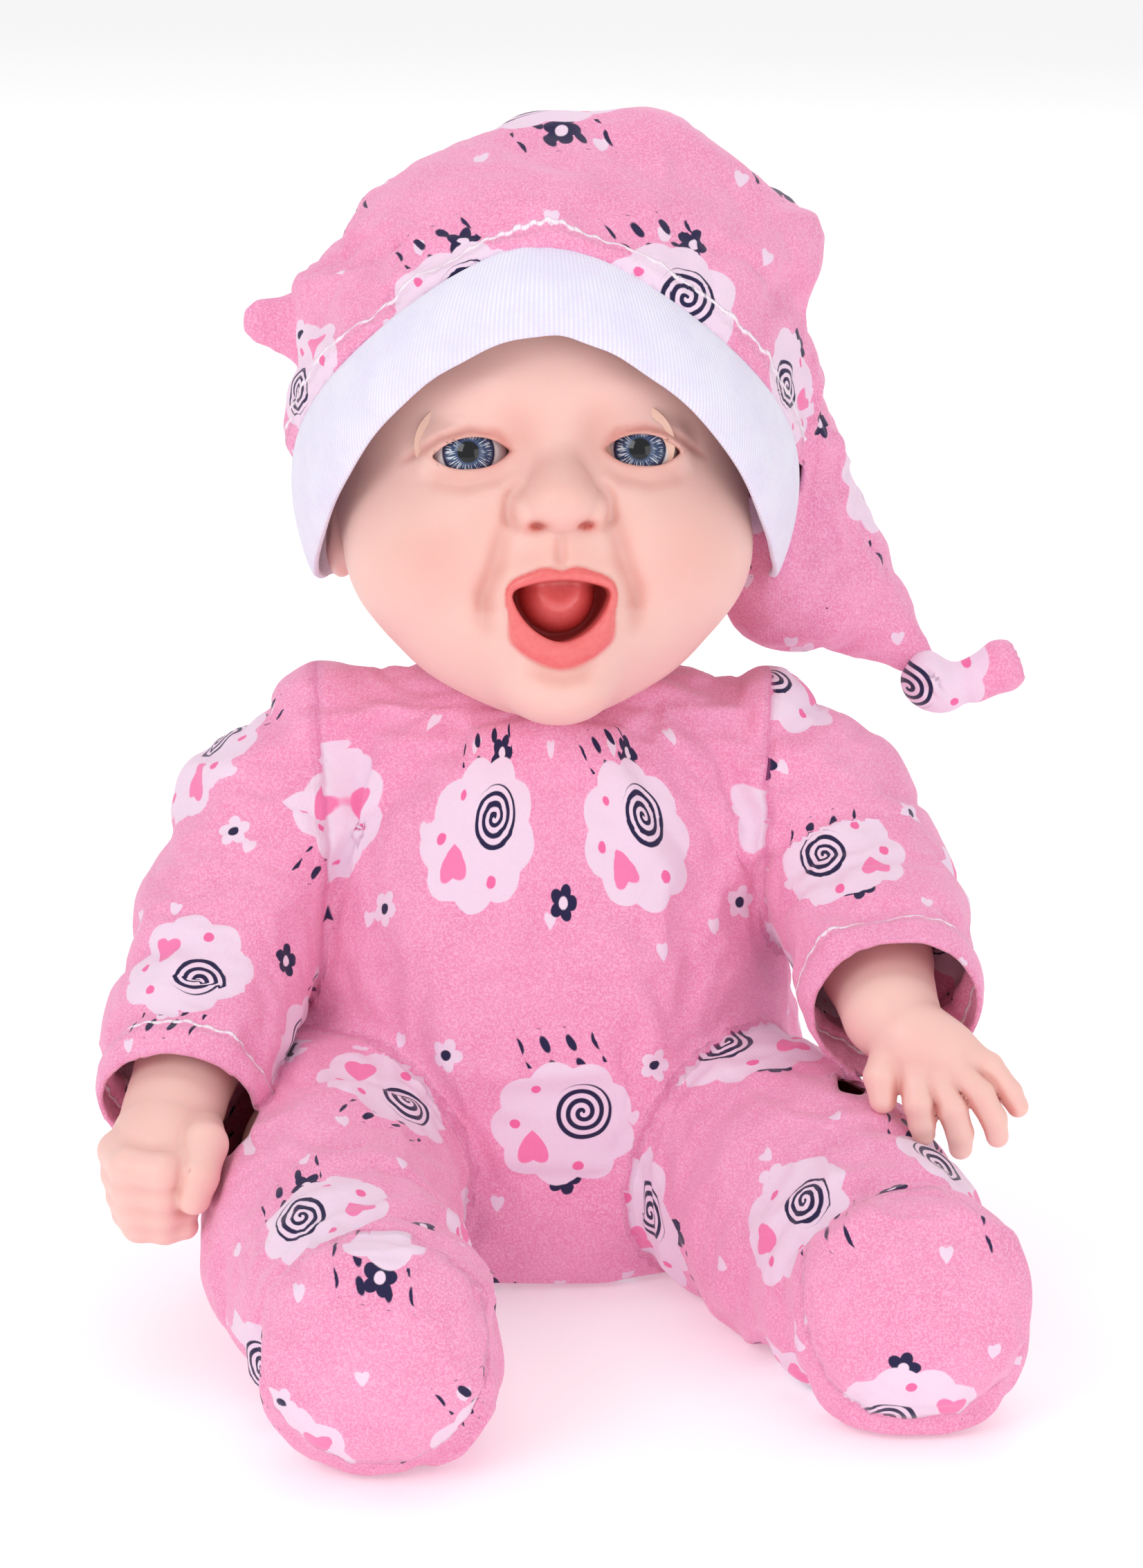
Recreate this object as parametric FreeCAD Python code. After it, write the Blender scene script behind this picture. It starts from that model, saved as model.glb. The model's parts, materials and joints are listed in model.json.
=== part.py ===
"""Interactive baby doll, seated: a hard two-part torso with a sound module inside, a hollow vinyl head with
inset eyes, vinyl arms and legs on flanged necks, a one-piece footed sleepsuit and a long slouching night cap
that pulls off.

Millimetres. +Z is up and the doll faces -Y, so its own left is +X. The origin is the middle of the flat seat.
Each limb lies outside an interface plane, and turns about the plane's normal, so it never meets the torso.
"""

import math
import os

import FreeCAD
import Part

V = FreeCAD.Vector
X, Y, Z = V(1, 0, 0), V(0, 1, 0), V(0, 0, 1)

# ---- driving dimensions ----
FIT = 0.3            # running gap between a moving piece and its neighbour
WALL = 2.2           # torso shell
VINYL = 3.0          # head and limb skin
CLOTH = 1.8          # the suit's jersey with its inner face and seams

TORSO = [            # z, half width, half depth, middle's y
    (2.4, 27, 21, 2), (13, 37, 32, 1), (33, 41.5, 37, 0), (58, 40, 36, 0),
    (78, 39.4, 31, 1), (94, 38.8, 26, 2), (106, 34, 21, 4), (111, 25, 17, 4)]
TORSO_TOP = TORSO[-1][0]
SUIT_GAP = 0.6       # suit's inner face outside the torso
SUIT_OUT = SUIT_GAP + CLOTH

NECK_Y = 4           # swivel axis
NECK_R = 16
HEAD_FLOOR = 118     # underside of the head
HEAD_TOP = 218
HEAD_HALF = (41.5, 46, 50)
HEAD_MID = V(0, NECK_Y, (HEAD_FLOOR + HEAD_TOP) / 2)

SHOULDER = V(43, 0, 94)
SHOULDER_BOSS_R = 13
SHOULDER_PIN_R = 8
HIP = V(30, -4, 28)
HIP_TILT = 12        # degrees that a hip's axis points below level
HIP_PIN_R = 10
HIP_NOTCH_R = 24.6   # room in the torso for the turning thigh
HIP_CLEAR_R = 62     # the thigh stays outside its plane within this distance of the axis

EYE_SPACING = 33.2
EYE_R = 9
EYE_MID = V(EYE_SPACING / 2, -29.4, 173)
MOUTH_MID = V(0, -40, 141.5)
MOUTH_HALF = (10, 10, 7.5)

HAT_IN = (46, 50, 50.5)
HAT_MID = V(0, NECK_Y, 170)
HAT_THICK = 2.0
HAT_FRONT = (-38, 196)   # y and z of the brim at the forehead
HAT_SIDE = (8, 137)      # and beside the jaw
HAT_NAPE_Z = 135
BAND_WIDTH = 15
TAIL = [             # x, y, z, half width, half depth
    (81, 20, 117.5, 4, 4), (75, 20, 122, 9, 6), (64, 21, 134, 17.5, 9), (58, 21, 150, 18.5, 12),
    (51, 19, 170, 18.5, 14), (42, 15, 190, 16, 16)]

CELL_R, CELL_L, CELL_PITCH = 5.2, 44.5, 11.6     # three AAA cells
BOX_MID_Z, BOX_WALL = 58, 1.5
BOX_BACK = 8.6           # y of the battery box's inner face
DOOR_Y = (22.4, 24.4)    # the door's two faces
BUTTON_Z, BUTTON_R, BUTTON_TRAVEL = 46, 9, 2.5
SPEAKER_Z, SPEAKER_R = 76, 12
SWITCH_Z, SWITCH_TRAVEL = 20, 3.0

ARM_RADII = [13.5, 14, 12.5, 11, 9.5]
SLEEVE_RADII = [20, 20.5, 19, 17, 15.6]
HEM = 7              # folded hem at the cuff
ARM_LEFT = [V(43, 0, 96), V(55, -3, 88), V(63, -13, 76), V(67, -34, 69), V(69, -50, 65.5)]
ARM_RIGHT = [V(43, 0, 96), V(56, -4, 86), V(67, -14, 67), V(74, -36, 54), V(76, -52, 47)]  # as if on the left
LEG_RADII = [20, 21, 20, 16.5, 15.5]
LEG_FOOT = [(-6, 12), (0, 16), (7, 17.6), (14, 18), (19, 13)]      # ahead of the ankle, radius
TROUSER_RADII = [23.4, 23.6, 22.4, 20.5, 19.5]
SOCK = [(-8, 16), (0, 20), (7, 21.6), (14, 21.6), (23, 16)]
SOCK_INNER = [(-8, 14), (0, 18.2), (7, 19.8), (14, 19.8), (20, 15.5)]
LEG_LEFT = [V(31, -4, 28), V(45, -28, 26), V(56, -54, 24.5), V(65, -78, 22.5), V(70, -93, 21.5)]
LEG_RIGHT = [V(31, -4, 28), V(42, -32, 26), V(43, -62, 24.5), V(37, -90, 22.5),
             V(31, -105, 21.5)]                        # as if on the left


# ---- helpers ----
def box(low, high):
    """A block between two corners."""
    return Part.makeBox(high[0] - low[0], high[1] - low[1], high[2] - low[2], V(*low))


def rod(start, direction, radius, length):
    return Part.makeCylinder(radius, length, start, direction)


def ring(start, direction, outer, inner, length):
    return rod(start, direction, outer, length).cut(rod(start, direction, inner, length))


def ellipsoid(middle, half):
    """A sphere stretched to three half sizes."""
    stretch = FreeCAD.Matrix()
    stretch.scale(*half)
    solid = Part.makeSphere(1).transformGeometry(stretch)
    solid.translate(middle)
    return solid


def oval(middle, half_x, half_y):
    """A level ellipse as a wire."""
    along_x, along_y = middle + V(half_x, 0, 0), middle + V(0, half_y, 0)
    if half_x >= half_y:
        ellipse = Part.Ellipse(along_x, along_y, middle)
    else:
        ellipse = Part.Ellipse(along_y, middle - V(half_x, 0, 0), middle)
    return Part.Wire(ellipse.toShape())


def torso_form(grow):
    """The torso's outer form, moved out by grow all round."""
    wires = []
    for i, (z, half_x, half_y, middle) in enumerate(TORSO):
        rise = -grow if i == 0 else grow if i == len(TORSO) - 1 else 0
        wires.append(oval(V(0, middle, z + rise), half_x + grow, half_y + grow))
    return Part.makeLoft(wires, True, False)


def tube(points, radii):
    """A round limb through the points, with a radius at each."""
    wires = []
    for i, (point, radius) in enumerate(zip(points, radii)):
        ahead = points[min(i + 1, len(points) - 1)]
        behind = points[max(i - 1, 0)]
        circle = Part.Wire(Part.makeCircle(radius))
        circle.Placement = FreeCAD.Placement(point, FreeCAD.Rotation(Z, ahead - behind))
        wires.append(circle)
    return Part.makeLoft(wires, True, False)


def longer(points, start, end):
    """The path with its two ends moved out along the path."""
    first = points[0] + (points[0] - points[1]).normalize() * start
    last = points[-1] + (points[-1] - points[-2]).normalize() * end
    return [first] + points[1:-1] + [last]


def capsule(start, end, r_start, r_end):
    """A finger: a cone with round ends."""
    along = end - start
    body = Part.makeCone(r_start, r_end, along.Length, start, along)
    return body.fuse([Part.makeSphere(r_start, start), Part.makeSphere(r_end, end)])


def egg(shrink):
    """The head's form, and a smaller copy of it inside for its hollow."""
    profile = [(20, 118), (30, 123), (37.5, 134), (41, 147), (41.5, 157), (40.5, 172),
               (38, 188), (32, 202), (22, 212), (10, 217), (0, 218)]
    curve = Part.BSplineCurve()
    curve.interpolate([V(r, 0, z) for r, z in profile])
    floor = Part.makeLine(V(0, 0, HEAD_FLOOR), V(20, 0, HEAD_FLOOR))
    axis = Part.makeLine(V(0, 0, HEAD_TOP), V(0, 0, HEAD_FLOOR))
    solid = Part.Face(Part.Wire([floor, curve.toShape(), axis])).revolve(V(0, 0, 0), Z, 360)
    middle = V(0, 0, HEAD_MID.z)
    solid.translate(-middle)
    stretch = FreeCAD.Matrix()
    stretch.scale(1 - shrink / HEAD_HALF[0],
                  (HEAD_HALF[1] - shrink) / HEAD_HALF[0],
                  1 - shrink / HEAD_HALF[2])
    solid = solid.transformGeometry(stretch)
    solid.translate(HEAD_MID)
    return solid


def mirrored(point, side):
    return V(point.x * side, point.y, point.z)


def hip_axis(side):
    """Out of the hip, and a little down."""
    tilt = math.radians(HIP_TILT)
    return V(side * math.cos(tilt), 0, -math.sin(tilt))


def hip_notch(side, gap):
    """What a thigh sweeps beside the torso, from seated to straight, moved out by gap."""
    axis = hip_axis(side)
    r = HIP_NOTCH_R + gap
    diagonal = r * math.sqrt(0.5)
    edges = [
        Part.makeLine(V(0, -90, r), V(0, 0, r)),
        Part.Arc(V(0, 0, r), V(0, diagonal, diagonal), V(0, r, 0)).toShape(),
        Part.makeLine(V(0, r, 0), V(0, r, -90)),
        Part.makeLine(V(0, r, -90), V(0, -90, -90)),
        Part.makeLine(V(0, -90, -90), V(0, -90, r))]
    notch = Part.Face(Part.Wire(edges)).extrude(X * side * 90)
    notch.Placement = FreeCAD.Placement(mirrored(HIP, side) - axis * gap, FreeCAD.Rotation(X * side, axis))
    return notch


def clear_of_plane(shape):
    """Cuts a left leg piece back to the outer side of its hip plane, near the hip."""
    axis = hip_axis(1)
    return shape.cut(rod(HIP - axis * 90, axis, HIP_CLEAR_R, 90 + FIT / 2))


def one_solid(shape):
    """The largest solid of a cut, without slivers."""
    return max(shape.Solids, key=lambda s: s.Volume)


# ---- torso and what it holds ----
def torso_hollow():
    hollow = torso_form(-WALL)
    for side in (1, -1):
        hollow = hollow.cut(hip_notch(side, WALL + FIT / 2))
    return hollow


def torso_outer(grow):
    """Torso with shoulder bosses, room for the thighs and the neck, moved out by grow."""
    form = torso_form(grow)
    for side in (1, -1):
        form = form.cut(hip_notch(side, FIT / 2))
    return form


def torso_shells():
    outer = torso_outer(0)
    hollow = torso_hollow()
    neck = rod(V(0, NECK_Y, TORSO_TOP - 3), Z, NECK_R, HEAD_FLOOR + VINYL + 1 - TORSO_TOP + 3)
    flange = rod(V(0, NECK_Y, HEAD_FLOOR + VINYL + 0.6), Z, NECK_R + 2.5, 2.4)
    boss_length = 9
    bosses = [rod(mirrored(SHOULDER, s) - X * s * (boss_length + FIT / 2), X * s,
                  SHOULDER_BOSS_R, boss_length)
              for s in (1, -1)]
    shell = outer.cut(hollow).fuse([neck, flange] + bosses).removeSplitter()
    shell = shell.cut(rod(V(0, NECK_Y, TORSO_TOP - 8), Z, NECK_R - 3, 40))
    for side in (1, -1):
        pin_hole = rod(mirrored(SHOULDER, side) - X * side * 14, X * side, SHOULDER_PIN_R + 0.1, 20).fuse(
            rod(mirrored(SHOULDER, side) - X * side * 14, X * side, SHOULDER_PIN_R + 2.4, 4.85))
        hip = hip_axis(side)
        hip_hole = rod(mirrored(HIP, side) - hip * 8, hip, HIP_PIN_R + 0.1, 12)
        shell = shell.cut(pin_hole).cut(hip_hole)
    # belly button's bore, sound slots, battery box's window, switch slot
    shell = shell.cut(rod(V(0, -60, BUTTON_Z), Y, BUTTON_R + FIT, 40))
    slots = [box((-w, -60, SPEAKER_Z + dz - 1), (w, -10, SPEAKER_Z + dz + 1))
             for dz, w in ((-8, 5), (-4, 8), (0, 9), (4, 8), (8, 5))]
    shell = shell.cut(Part.Compound(slots))
    shell = shell.cut(battery_window(0.2))
    shell = shell.cut(box((-6, 20, SWITCH_Z - 2.4), (6, 60, SWITCH_Z + 2.4)))
    for boss, hole in screw_places():
        shell = shell.fuse(boss.common(outer).cut(hole))
    half = box((-100, -100, -10), (100, 0, 200))
    front = one_solid(shell.common(half))
    back = one_solid(shell.cut(half))
    return front, back


SCREW_AT = [(31, 68), (-31, 68), (0, 12), (0, 101)]
SCREW_FROM, SCREW_TO = -6, 14


def screw_places():
    """The four screw bosses across the parting face, each with its hole."""
    places = []
    for x, z in SCREW_AT:
        boss = rod(V(x, SCREW_FROM - 3, z), Y, 3.2, SCREW_TO - SCREW_FROM + 3)
        hole = rod(V(x, SCREW_FROM, z), Y, 1.3, 100).fuse(rod(V(x, SCREW_TO - 2, z), Y, 2.6, 100))
        places.append((boss, hole))
    return places


def screw(start, length, shank_r, head_r, head_length):
    """A screw that points along -Y, its head's outer face at start."""
    head = rod(start - Y * head_length, Y, head_r, head_length)
    cross = box((start.x - 0.35, start.y - 0.8, start.z - head_r * 0.7),
                (start.x + 0.35, start.y + 1, start.z + head_r * 0.7))
    bar = box((start.x - head_r * 0.7, start.y - 0.8, start.z - 0.35),
              (start.x + head_r * 0.7, start.y + 1, start.z + 0.35))
    shank = rod(start - Y * (length + head_length), Y, shank_r, length)
    return head.fuse(shank).cut(cross.fuse(bar))


def torso_screws():
    return [screw(V(x, SCREW_TO, z), 16, 1.2, 2.3, 1.8) for x, z in SCREW_AT]


def box_half():
    """Half width and half height of the battery box's outside."""
    return 1.5 * CELL_PITCH + BOX_WALL + 0.4, CELL_L / 2 + 3.5 + BOX_WALL


def battery_window(gap):
    half_x, half_z = box_half()
    return box((-half_x - gap, BOX_BACK - gap, BOX_MID_Z - half_z - gap),
               (half_x + gap, 60, BOX_MID_Z + half_z + gap))


def battery_parts(nodes):
    half_x, half_z = box_half()
    low_z, high_z = BOX_MID_Z - half_z, BOX_MID_Z + half_z
    cell_y = BOX_BACK + BOX_WALL + CELL_R + 0.4
    tub = battery_window(0).common(torso_form(0))
    room = box((-half_x + BOX_WALL, BOX_BACK + BOX_WALL, low_z + BOX_WALL),
               (half_x - BOX_WALL, DOOR_Y[0], high_z - BOX_WALL))
    lip = box((-half_x + 0.5, DOOR_Y[0], low_z + 0.5), (half_x - 0.5, 60, high_z - 0.5))
    nodes["battery_box"] = one_solid(tub.cut(room).cut(lip))
    cells, contacts = [], []
    for i in (-1, 0, 1):
        x, foot = i * CELL_PITCH, BOX_MID_Z - CELL_L / 2
        body = rod(V(x, cell_y, foot), Z, CELL_R, CELL_L - 1)
        cells.append(body.fuse(rod(V(x, cell_y, foot + CELL_L - 1.2), Z, 1.9, 1.2)))
        plate_low = box((x - 4, cell_y - 4, low_z + BOX_WALL), (x + 4, cell_y + 4, low_z + BOX_WALL + 0.4))
        cone = Part.makeCone(3.2, 1.8, 2.9, V(x, cell_y, low_z + BOX_WALL + 0.4), Z)
        top = high_z - BOX_WALL
        plate_high = box((x - 4, cell_y - 4, top - 0.4), (x + 4, cell_y + 4, top))
        contacts += [plate_low.fuse(cone), plate_high]
    nodes["batteries"] = cells
    nodes["battery_contacts"] = contacts
    door = box((-half_x + 0.8, DOOR_Y[0] + 0.1, low_z + 0.8), (half_x - 0.8, DOOR_Y[1], high_z - 0.8))
    door_screw = V(0, DOOR_Y[1] - 0.1, high_z - 4.5)
    ribs = [box((-9, DOOR_Y[1] - 0.6, low_z + 6 + 2 * k), (9, DOOR_Y[1] + 1, low_z + 7 + 2 * k))
            for k in range(4)]
    door = door.cut(Part.Compound(ribs)).cut(rod(door_screw - Y * 5, Y, 2.4, 10))
    nodes["battery_door"] = one_solid(door)
    nodes["battery_door_screw"] = screw(door_screw, 0.6, 1.0, 2.1, 1.2)


def speaker_parts(nodes):
    front = -22.5
    at = V(0, front, SPEAKER_Z)
    nodes["speaker_frame"] = ring(at, Y, SPEAKER_R, SPEAKER_R - 2, 2.0).fuse(
        ring(at + Y * 2, Y, SPEAKER_R, SPEAKER_R - 1, 3.0))
    nodes["speaker_cone"] = Part.makeCone(SPEAKER_R - 2.3, 4, 5.5, at + Y * 0.4, Y).cut(
        Part.makeCone(SPEAKER_R - 3.1, 3.2, 4.9, at + Y * 0.4, Y))
    nodes["speaker_magnet"] = rod(at + Y * 6.0, Y, 7, 4.5).fuse(rod(at + Y * 10.5, Y, 5, 1.2))


def board_parts(nodes):
    y = -6.0
    board = box((-17, y, 31), (17, y + 1.6, 64))
    nodes["circuit_board"] = board
    nodes["sound_chip"] = ellipsoid(V(8, y - 0.02, 58), (4, 1.6, 4)).cut(box((-20, y, 30), (30, y + 9, 80)))
    nodes["board_parts"] = [rod(V(-9, y - 7, 58), Y, 2.5, 7),
                            box((-2, y - 1.2, 56), (2, y, 60)),
                            box((-13, y - 1.0, 38), (-11, y, 41)), box((11, y - 1.0, 38), (13, y, 41))]
    nodes["press_switch"] = box((-3, y - 4, BUTTON_Z - 3), (3, y, BUTTON_Z + 3)).fuse(
        rod(V(0, y - 5.5, BUTTON_Z), Y, 1.7, 1.6))


def button_parts(nodes):
    face, skirt, stop_thick = -36.9, -30.4, 1.8
    cap = rod(V(0, face + 1.2, BUTTON_Z), Y, BUTTON_R, skirt - face - 1.2)
    dome = ellipsoid(V(0, face + 1.3, BUTTON_Z), (BUTTON_R, 1.3, BUTTON_R))
    back = skirt + stop_thick
    stop = rod(V(0, skirt, BUTTON_Z), Y, BUTTON_R + 2, stop_thick)
    stem = rod(V(0, back, BUTTON_Z), Y, 2.2, 13.4)
    nodes["belly_button"] = cap.fuse([dome, stop, stem]).removeSplitter()
    coil = Part.makeHelix(3.2, 16.6, 4.2)
    profile = Part.Wire(Part.makeCircle(0.45, V(4.2, 0, 0), Y))
    spring = Part.Wire(coil).makePipeShell([profile], True, True)
    spring.rotate(V(0, 0, 0), X, -90)
    spring.translate(V(0, skirt + 2.4, BUTTON_Z))
    nodes["button_spring"] = spring
    guide_front = back + BUTTON_TRAVEL + 0.4         # clear of the stop when the button is fully in
    guide = ring(V(0, guide_front, BUTTON_Z), Y, 6.4, 5.2, -10.2 - guide_front)
    base = box((-8, -10.8, BUTTON_Z - 8), (8, -10.2, BUTTON_Z + 8)).cut(rod(V(0, -12, BUTTON_Z), Y, 4.4, 4))
    nodes["spring_guide"] = guide.fuse(base)


def switch_parts(nodes):
    outside = 33.2
    off = -SWITCH_TRAVEL / 2
    knob = box((off - 1.5, outside - 4, SWITCH_Z - 1.8), (off + 1.5, outside, SWITCH_Z + 1.8))
    foot = box((off - 3, outside - 5.6, SWITCH_Z - 3), (off + 3, outside - 4, SWITCH_Z + 3))
    nodes["power_switch_knob"] = knob.fuse(foot)
    body = box((-8, 18, SWITCH_Z - 4.5), (8, outside - 5.3, SWITCH_Z + 4.5))
    nodes["power_switch_body"] = body.cut(
        box((-6.5, outside - 6, SWITCH_Z - 3.3), (6.5, outside, SWITCH_Z + 3.3)))


def wire_path(points, bend):
    """Straight runs joined by arcs of one radius, as a wire to sweep along."""
    edges, start = [], points[0]
    for before, corner, after in zip(points, points[1:], points[2:]):
        into, out = (corner - before).normalize(), (after - corner).normalize()
        half_turn = into.getAngle(out) / 2
        back = bend * math.tan(half_turn)
        entry, leave = corner - into * back, corner + out * back
        toward = (out - into).normalize()
        middle = corner + toward * (bend / math.cos(half_turn) - bend)
        edges += [Part.makeLine(start, entry), Part.Arc(entry, middle, leave).toShape()]
        start = leave
    edges.append(Part.makeLine(start, points[-1]))
    return Part.Wire(edges)


def lead(points, radius, bend):
    path = wire_path(points, bend)
    profile = Part.Wire(Part.makeCircle(radius, points[0], points[1] - points[0]))
    return path.makePipeShell([profile], True, False)


def lead_parts(nodes):
    leads = []
    for x in (-6.2, 6.2):
        leads.append(lead([V(x, -12, 76), V(x, -1, 76), V(x, -1, 68), V(x, -5.2, 64.9)], 0.6, 2))
    for x in (-15, 15):
        leads.append(lead([V(x, -4.4, 34), V(x, 3, 34), V(x, 3, 44), V(x, BOX_BACK, 44)], 0.6, 2))
    nodes["lead_wires"] = leads


# ---- head ----
def head_parts(nodes):
    form = egg(0)
    nose = ellipsoid(V(0, -43, 165), (8, 7, 7))
    ears = [ellipsoid(V(s * 40, 8, 158), (4.5, 6, 9)) for s in (1, -1)]
    pocket = ellipsoid(MOUTH_MID, MOUTH_HALF)
    lining = ellipsoid(MOUTH_MID, [h + 2.5 for h in MOUTH_HALF])
    hollow = egg(VINYL).cut(lining)
    head = form.fuse([nose] + ears).cut(hollow).cut(pocket)
    head = head.cut(rod(V(0, NECK_Y, HEAD_FLOOR - 5), Z, NECK_R + FIT, 12))
    for side, name in ((1, "left"), (-1, "right")):
        middle = mirrored(EYE_MID, side)
        head = head.cut(Part.makeSphere(EYE_R + 0.15, middle))
        eye = Part.makeSphere(EYE_R, middle).cut(box((-60, middle.y + 1, 100), (60, 60, 250)))
        nodes["eye_" + name] = eye
        nodes["eye_retainer_" + name] = ring(middle + Y * 1.1, Y, EYE_R - 0.4, 4, 1.6)
    nodes["head_shell"] = one_solid(head)


# ---- arms: both are made on the left, and the right one is mirrored ----
def put_on_side(nodes, stem, name, shape):
    solid = one_solid(shape)
    nodes[stem + "_" + name] = solid if name == "left" else solid.mirror(V(0, 0, 0), X)


def hand_open(wrist):
    """A palm turned out and down, with its fingers held together in two spread pairs."""
    palm = ellipsoid(wrist + V(9, -11, -8), (13, 11, 10))
    outer_pair = capsule(wrist + V(16, -12, -10), wrist + V(25, -13.5, -17), 4.6, 3.8)
    inner_pair = capsule(wrist + V(9, -14, -12), wrist + V(13.5, -18, -24), 4.6, 3.8)
    thumb = capsule(wrist + V(0.5, -12, -5), wrist + V(-1, -19.5, -9.5), 4.6, 3.8)
    return palm.fuse(outer_pair).fuse(inner_pair).fuse(thumb)


def hand_fist(wrist):
    """Closed fingers under a straight thumb."""
    palm = ellipsoid(wrist + V(2.2, -12.6, -5), (12.2, 12.9, 12.1))
    thumb = capsule(wrist + V(-5, -13.3, 1), wrist + V(-6.5, -22, -8), 5, 4.2)
    knuckles = capsule(wrist + V(8.7, -19.2, -4.3), wrist + V(6.9, -18.1, -12.6), 5.7, 4.9)
    return palm.fuse([thumb, knuckles])


def shoulder_pin():
    """The neck and the flange that hold an arm in its socket."""
    inside = 9 + FIT
    pin = rod(SHOULDER - X * (inside + 0.1), X, SHOULDER_PIN_R, inside + 2)
    flange = rod(SHOULDER - X * (inside + 1.9), X, SHOULDER_PIN_R + 1.8, 1.8)
    return pin.fuse(flange)


def arm_parts(nodes, name, path, hand):
    keep = box((SHOULDER.x + FIT / 2, -200, -50), (250, 100, 300))
    skin = tube(longer(path, 4, 0), ARM_RADII).common(keep)
    ahead = (path[-1] - path[-2]).normalize()
    wrist = capsule(path[-1] - ahead * 1.5, path[-1] + ahead * 5, ARM_RADII[-1] - 0.7, ARM_RADII[-1] - 1.5)
    core = [r - VINYL for r in ARM_RADII]
    hollow = tube([path[0] + X * 6] + path[1:], core)
    arm = skin.fuse([wrist, hand(path[-1])]).cut(hollow).fuse(shoulder_pin())
    put_on_side(nodes, "arm", name, arm)
    outer = tube(longer(path, 4, 0), SLEEVE_RADII).common(keep)
    inner = tube(longer(path, 8, 3), [r - CLOTH for r in SLEEVE_RADII])
    cloth = outer.cut(inner)
    hem_zone = rod(path[-1] - ahead * HEM, ahead, 40, 40)
    put_on_side(nodes, "sleeve", name, cloth.cut(hem_zone))
    put_on_side(nodes, "cuff", name, cloth.common(hem_zone))


# ---- legs, made the same way ----
def foot_form(ankle, profile):
    """A round foot that points straight ahead of the ankle."""
    points = [V(radius, -ahead, 0) for ahead, radius in profile]
    curve = Part.BSplineCurve()
    curve.interpolate(points)
    back, front = V(0, points[0].y, 0), V(0, points[-1].y, 0)
    edges = [Part.makeLine(back, points[0]), curve.toShape(),
             Part.makeLine(points[-1], front), Part.makeLine(front, back)]
    solid = Part.Face(Part.Wire(edges)).revolve(V(0, 0, 0), Y, 360)
    solid.translate(ankle)
    return solid


def leg_parts(nodes, name, path):
    axis = hip_axis(1)
    ankle = path[-1]
    skin = tube(longer(path, 6, 0), LEG_RADII).fuse(foot_form(ankle, LEG_FOOT))
    core = tube([path[0] + (path[1] - path[0]) * 0.35] + path[1:], [r - VINYL for r in LEG_RADII])
    pin = rod(HIP - axis * (WALL + 2 * FIT + 1), axis, HIP_PIN_R, 8)
    flange = rod(HIP - axis * (WALL + 2 * FIT + 2.4), axis, HIP_PIN_R + 2.5, 2)
    leg = clear_of_plane(skin)
    leg = leg.fuse(pin).cut(clear_of_plane(core).cut(rod(HIP, axis, HIP_PIN_R, VINYL)))
    put_on_side(nodes, "leg", name, leg.fuse(flange))
    outer = tube(longer(path, 6, 0), TROUSER_RADII).fuse(foot_form(ankle, SOCK))
    inner = tube(longer(path, 9, 0), [r - CLOTH for r in TROUSER_RADII]).fuse(foot_form(ankle, SOCK_INNER))
    cloth = clear_of_plane(outer.cut(inner))
    front = ankle.y - SOCK_INNER[-1][0]
    sole_zone = box((-150, -200, -20), (150, front, 100))
    put_on_side(nodes, "trouser", name, cloth.cut(sole_zone))
    put_on_side(nodes, "sole", name, cloth.common(sole_zone))


# ---- suit on the torso ----
def suit_parts(nodes):
    cloth = torso_outer(SUIT_OUT).cut(torso_form(SUIT_GAP))
    cloth = cloth.cut(rod(V(0, NECK_Y, 100), Z, NECK_R + 2.6, 40))
    for side in (1, -1):
        cloth = cloth.cut(rod(mirrored(SHOULDER, side) - X * side * 30, X * side, SHOULDER_BOSS_R + FIT, 60))
    cloth = cloth.cut(box((-100, -100, -20), (100, 100, 0)))
    front = box((-100, -100, -10), (100, 0, 200))
    left = box((0, 0, -10), (100, 100, 200))
    nodes["suit_front"] = one_solid(cloth.common(front))
    back = cloth.cut(front)
    nodes["suit_back_left"] = one_solid(back.common(left))
    nodes["suit_back_right"] = one_solid(back.cut(left))
    strip = torso_form(SUIT_OUT + 1.2).cut(torso_form(SUIT_OUT))
    nodes["back_closure_strip"] = one_solid(strip.common(box((-7, 5, 44), (7, 90, 104))))
    collar_z = TORSO_TOP + SUIT_OUT
    nodes["collar_binding"] = ring(V(0, NECK_Y, collar_z), Z, NECK_R + 6.5, NECK_R + 2.6,
                                   HEAD_FLOOR - FIT - collar_z)


# ---- hat ----
def hat_form(grow):
    """A dome over the head with a straight skirt below, moved out by grow."""
    half = [h + grow for h in HAT_IN]
    dome = ellipsoid(HAT_MID, half)
    low = HAT_NAPE_Z - 5
    skirt_face = Part.Face(oval(V(0, HAT_MID.y, low), half[0], half[1]))
    below = box((-100, -100, 100), (100, 100, HAT_MID.z))
    return dome.cut(below).fuse(skirt_face.extrude(V(0, 0, HAT_MID.z - low)))


def below_brim(shift):
    """Everything in front of and below a line that runs shift above the brim."""
    (y0, z0), (y1, z1) = HAT_FRONT, HAT_SIDE
    length = math.hypot(y1 - y0, z1 - z0)
    y0, z0 = y0 + shift * (z0 - z1) / length, z0 + shift * (y1 - y0) / length
    slope = (z1 - HAT_FRONT[1]) / (y1 - HAT_FRONT[0])
    nape = HAT_NAPE_Z + shift
    corner = y0 + (nape - z0) / slope
    outline = [(-100, 60), (-100, z0 + slope * (-100 - y0)), (corner, nape), (120, nape), (120, 60)]
    points = [V(-120, y, z) for y, z in outline]
    return Part.Face(Part.makePolygon(points + points[:1])).extrude(V(240, 0, 0))


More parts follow.
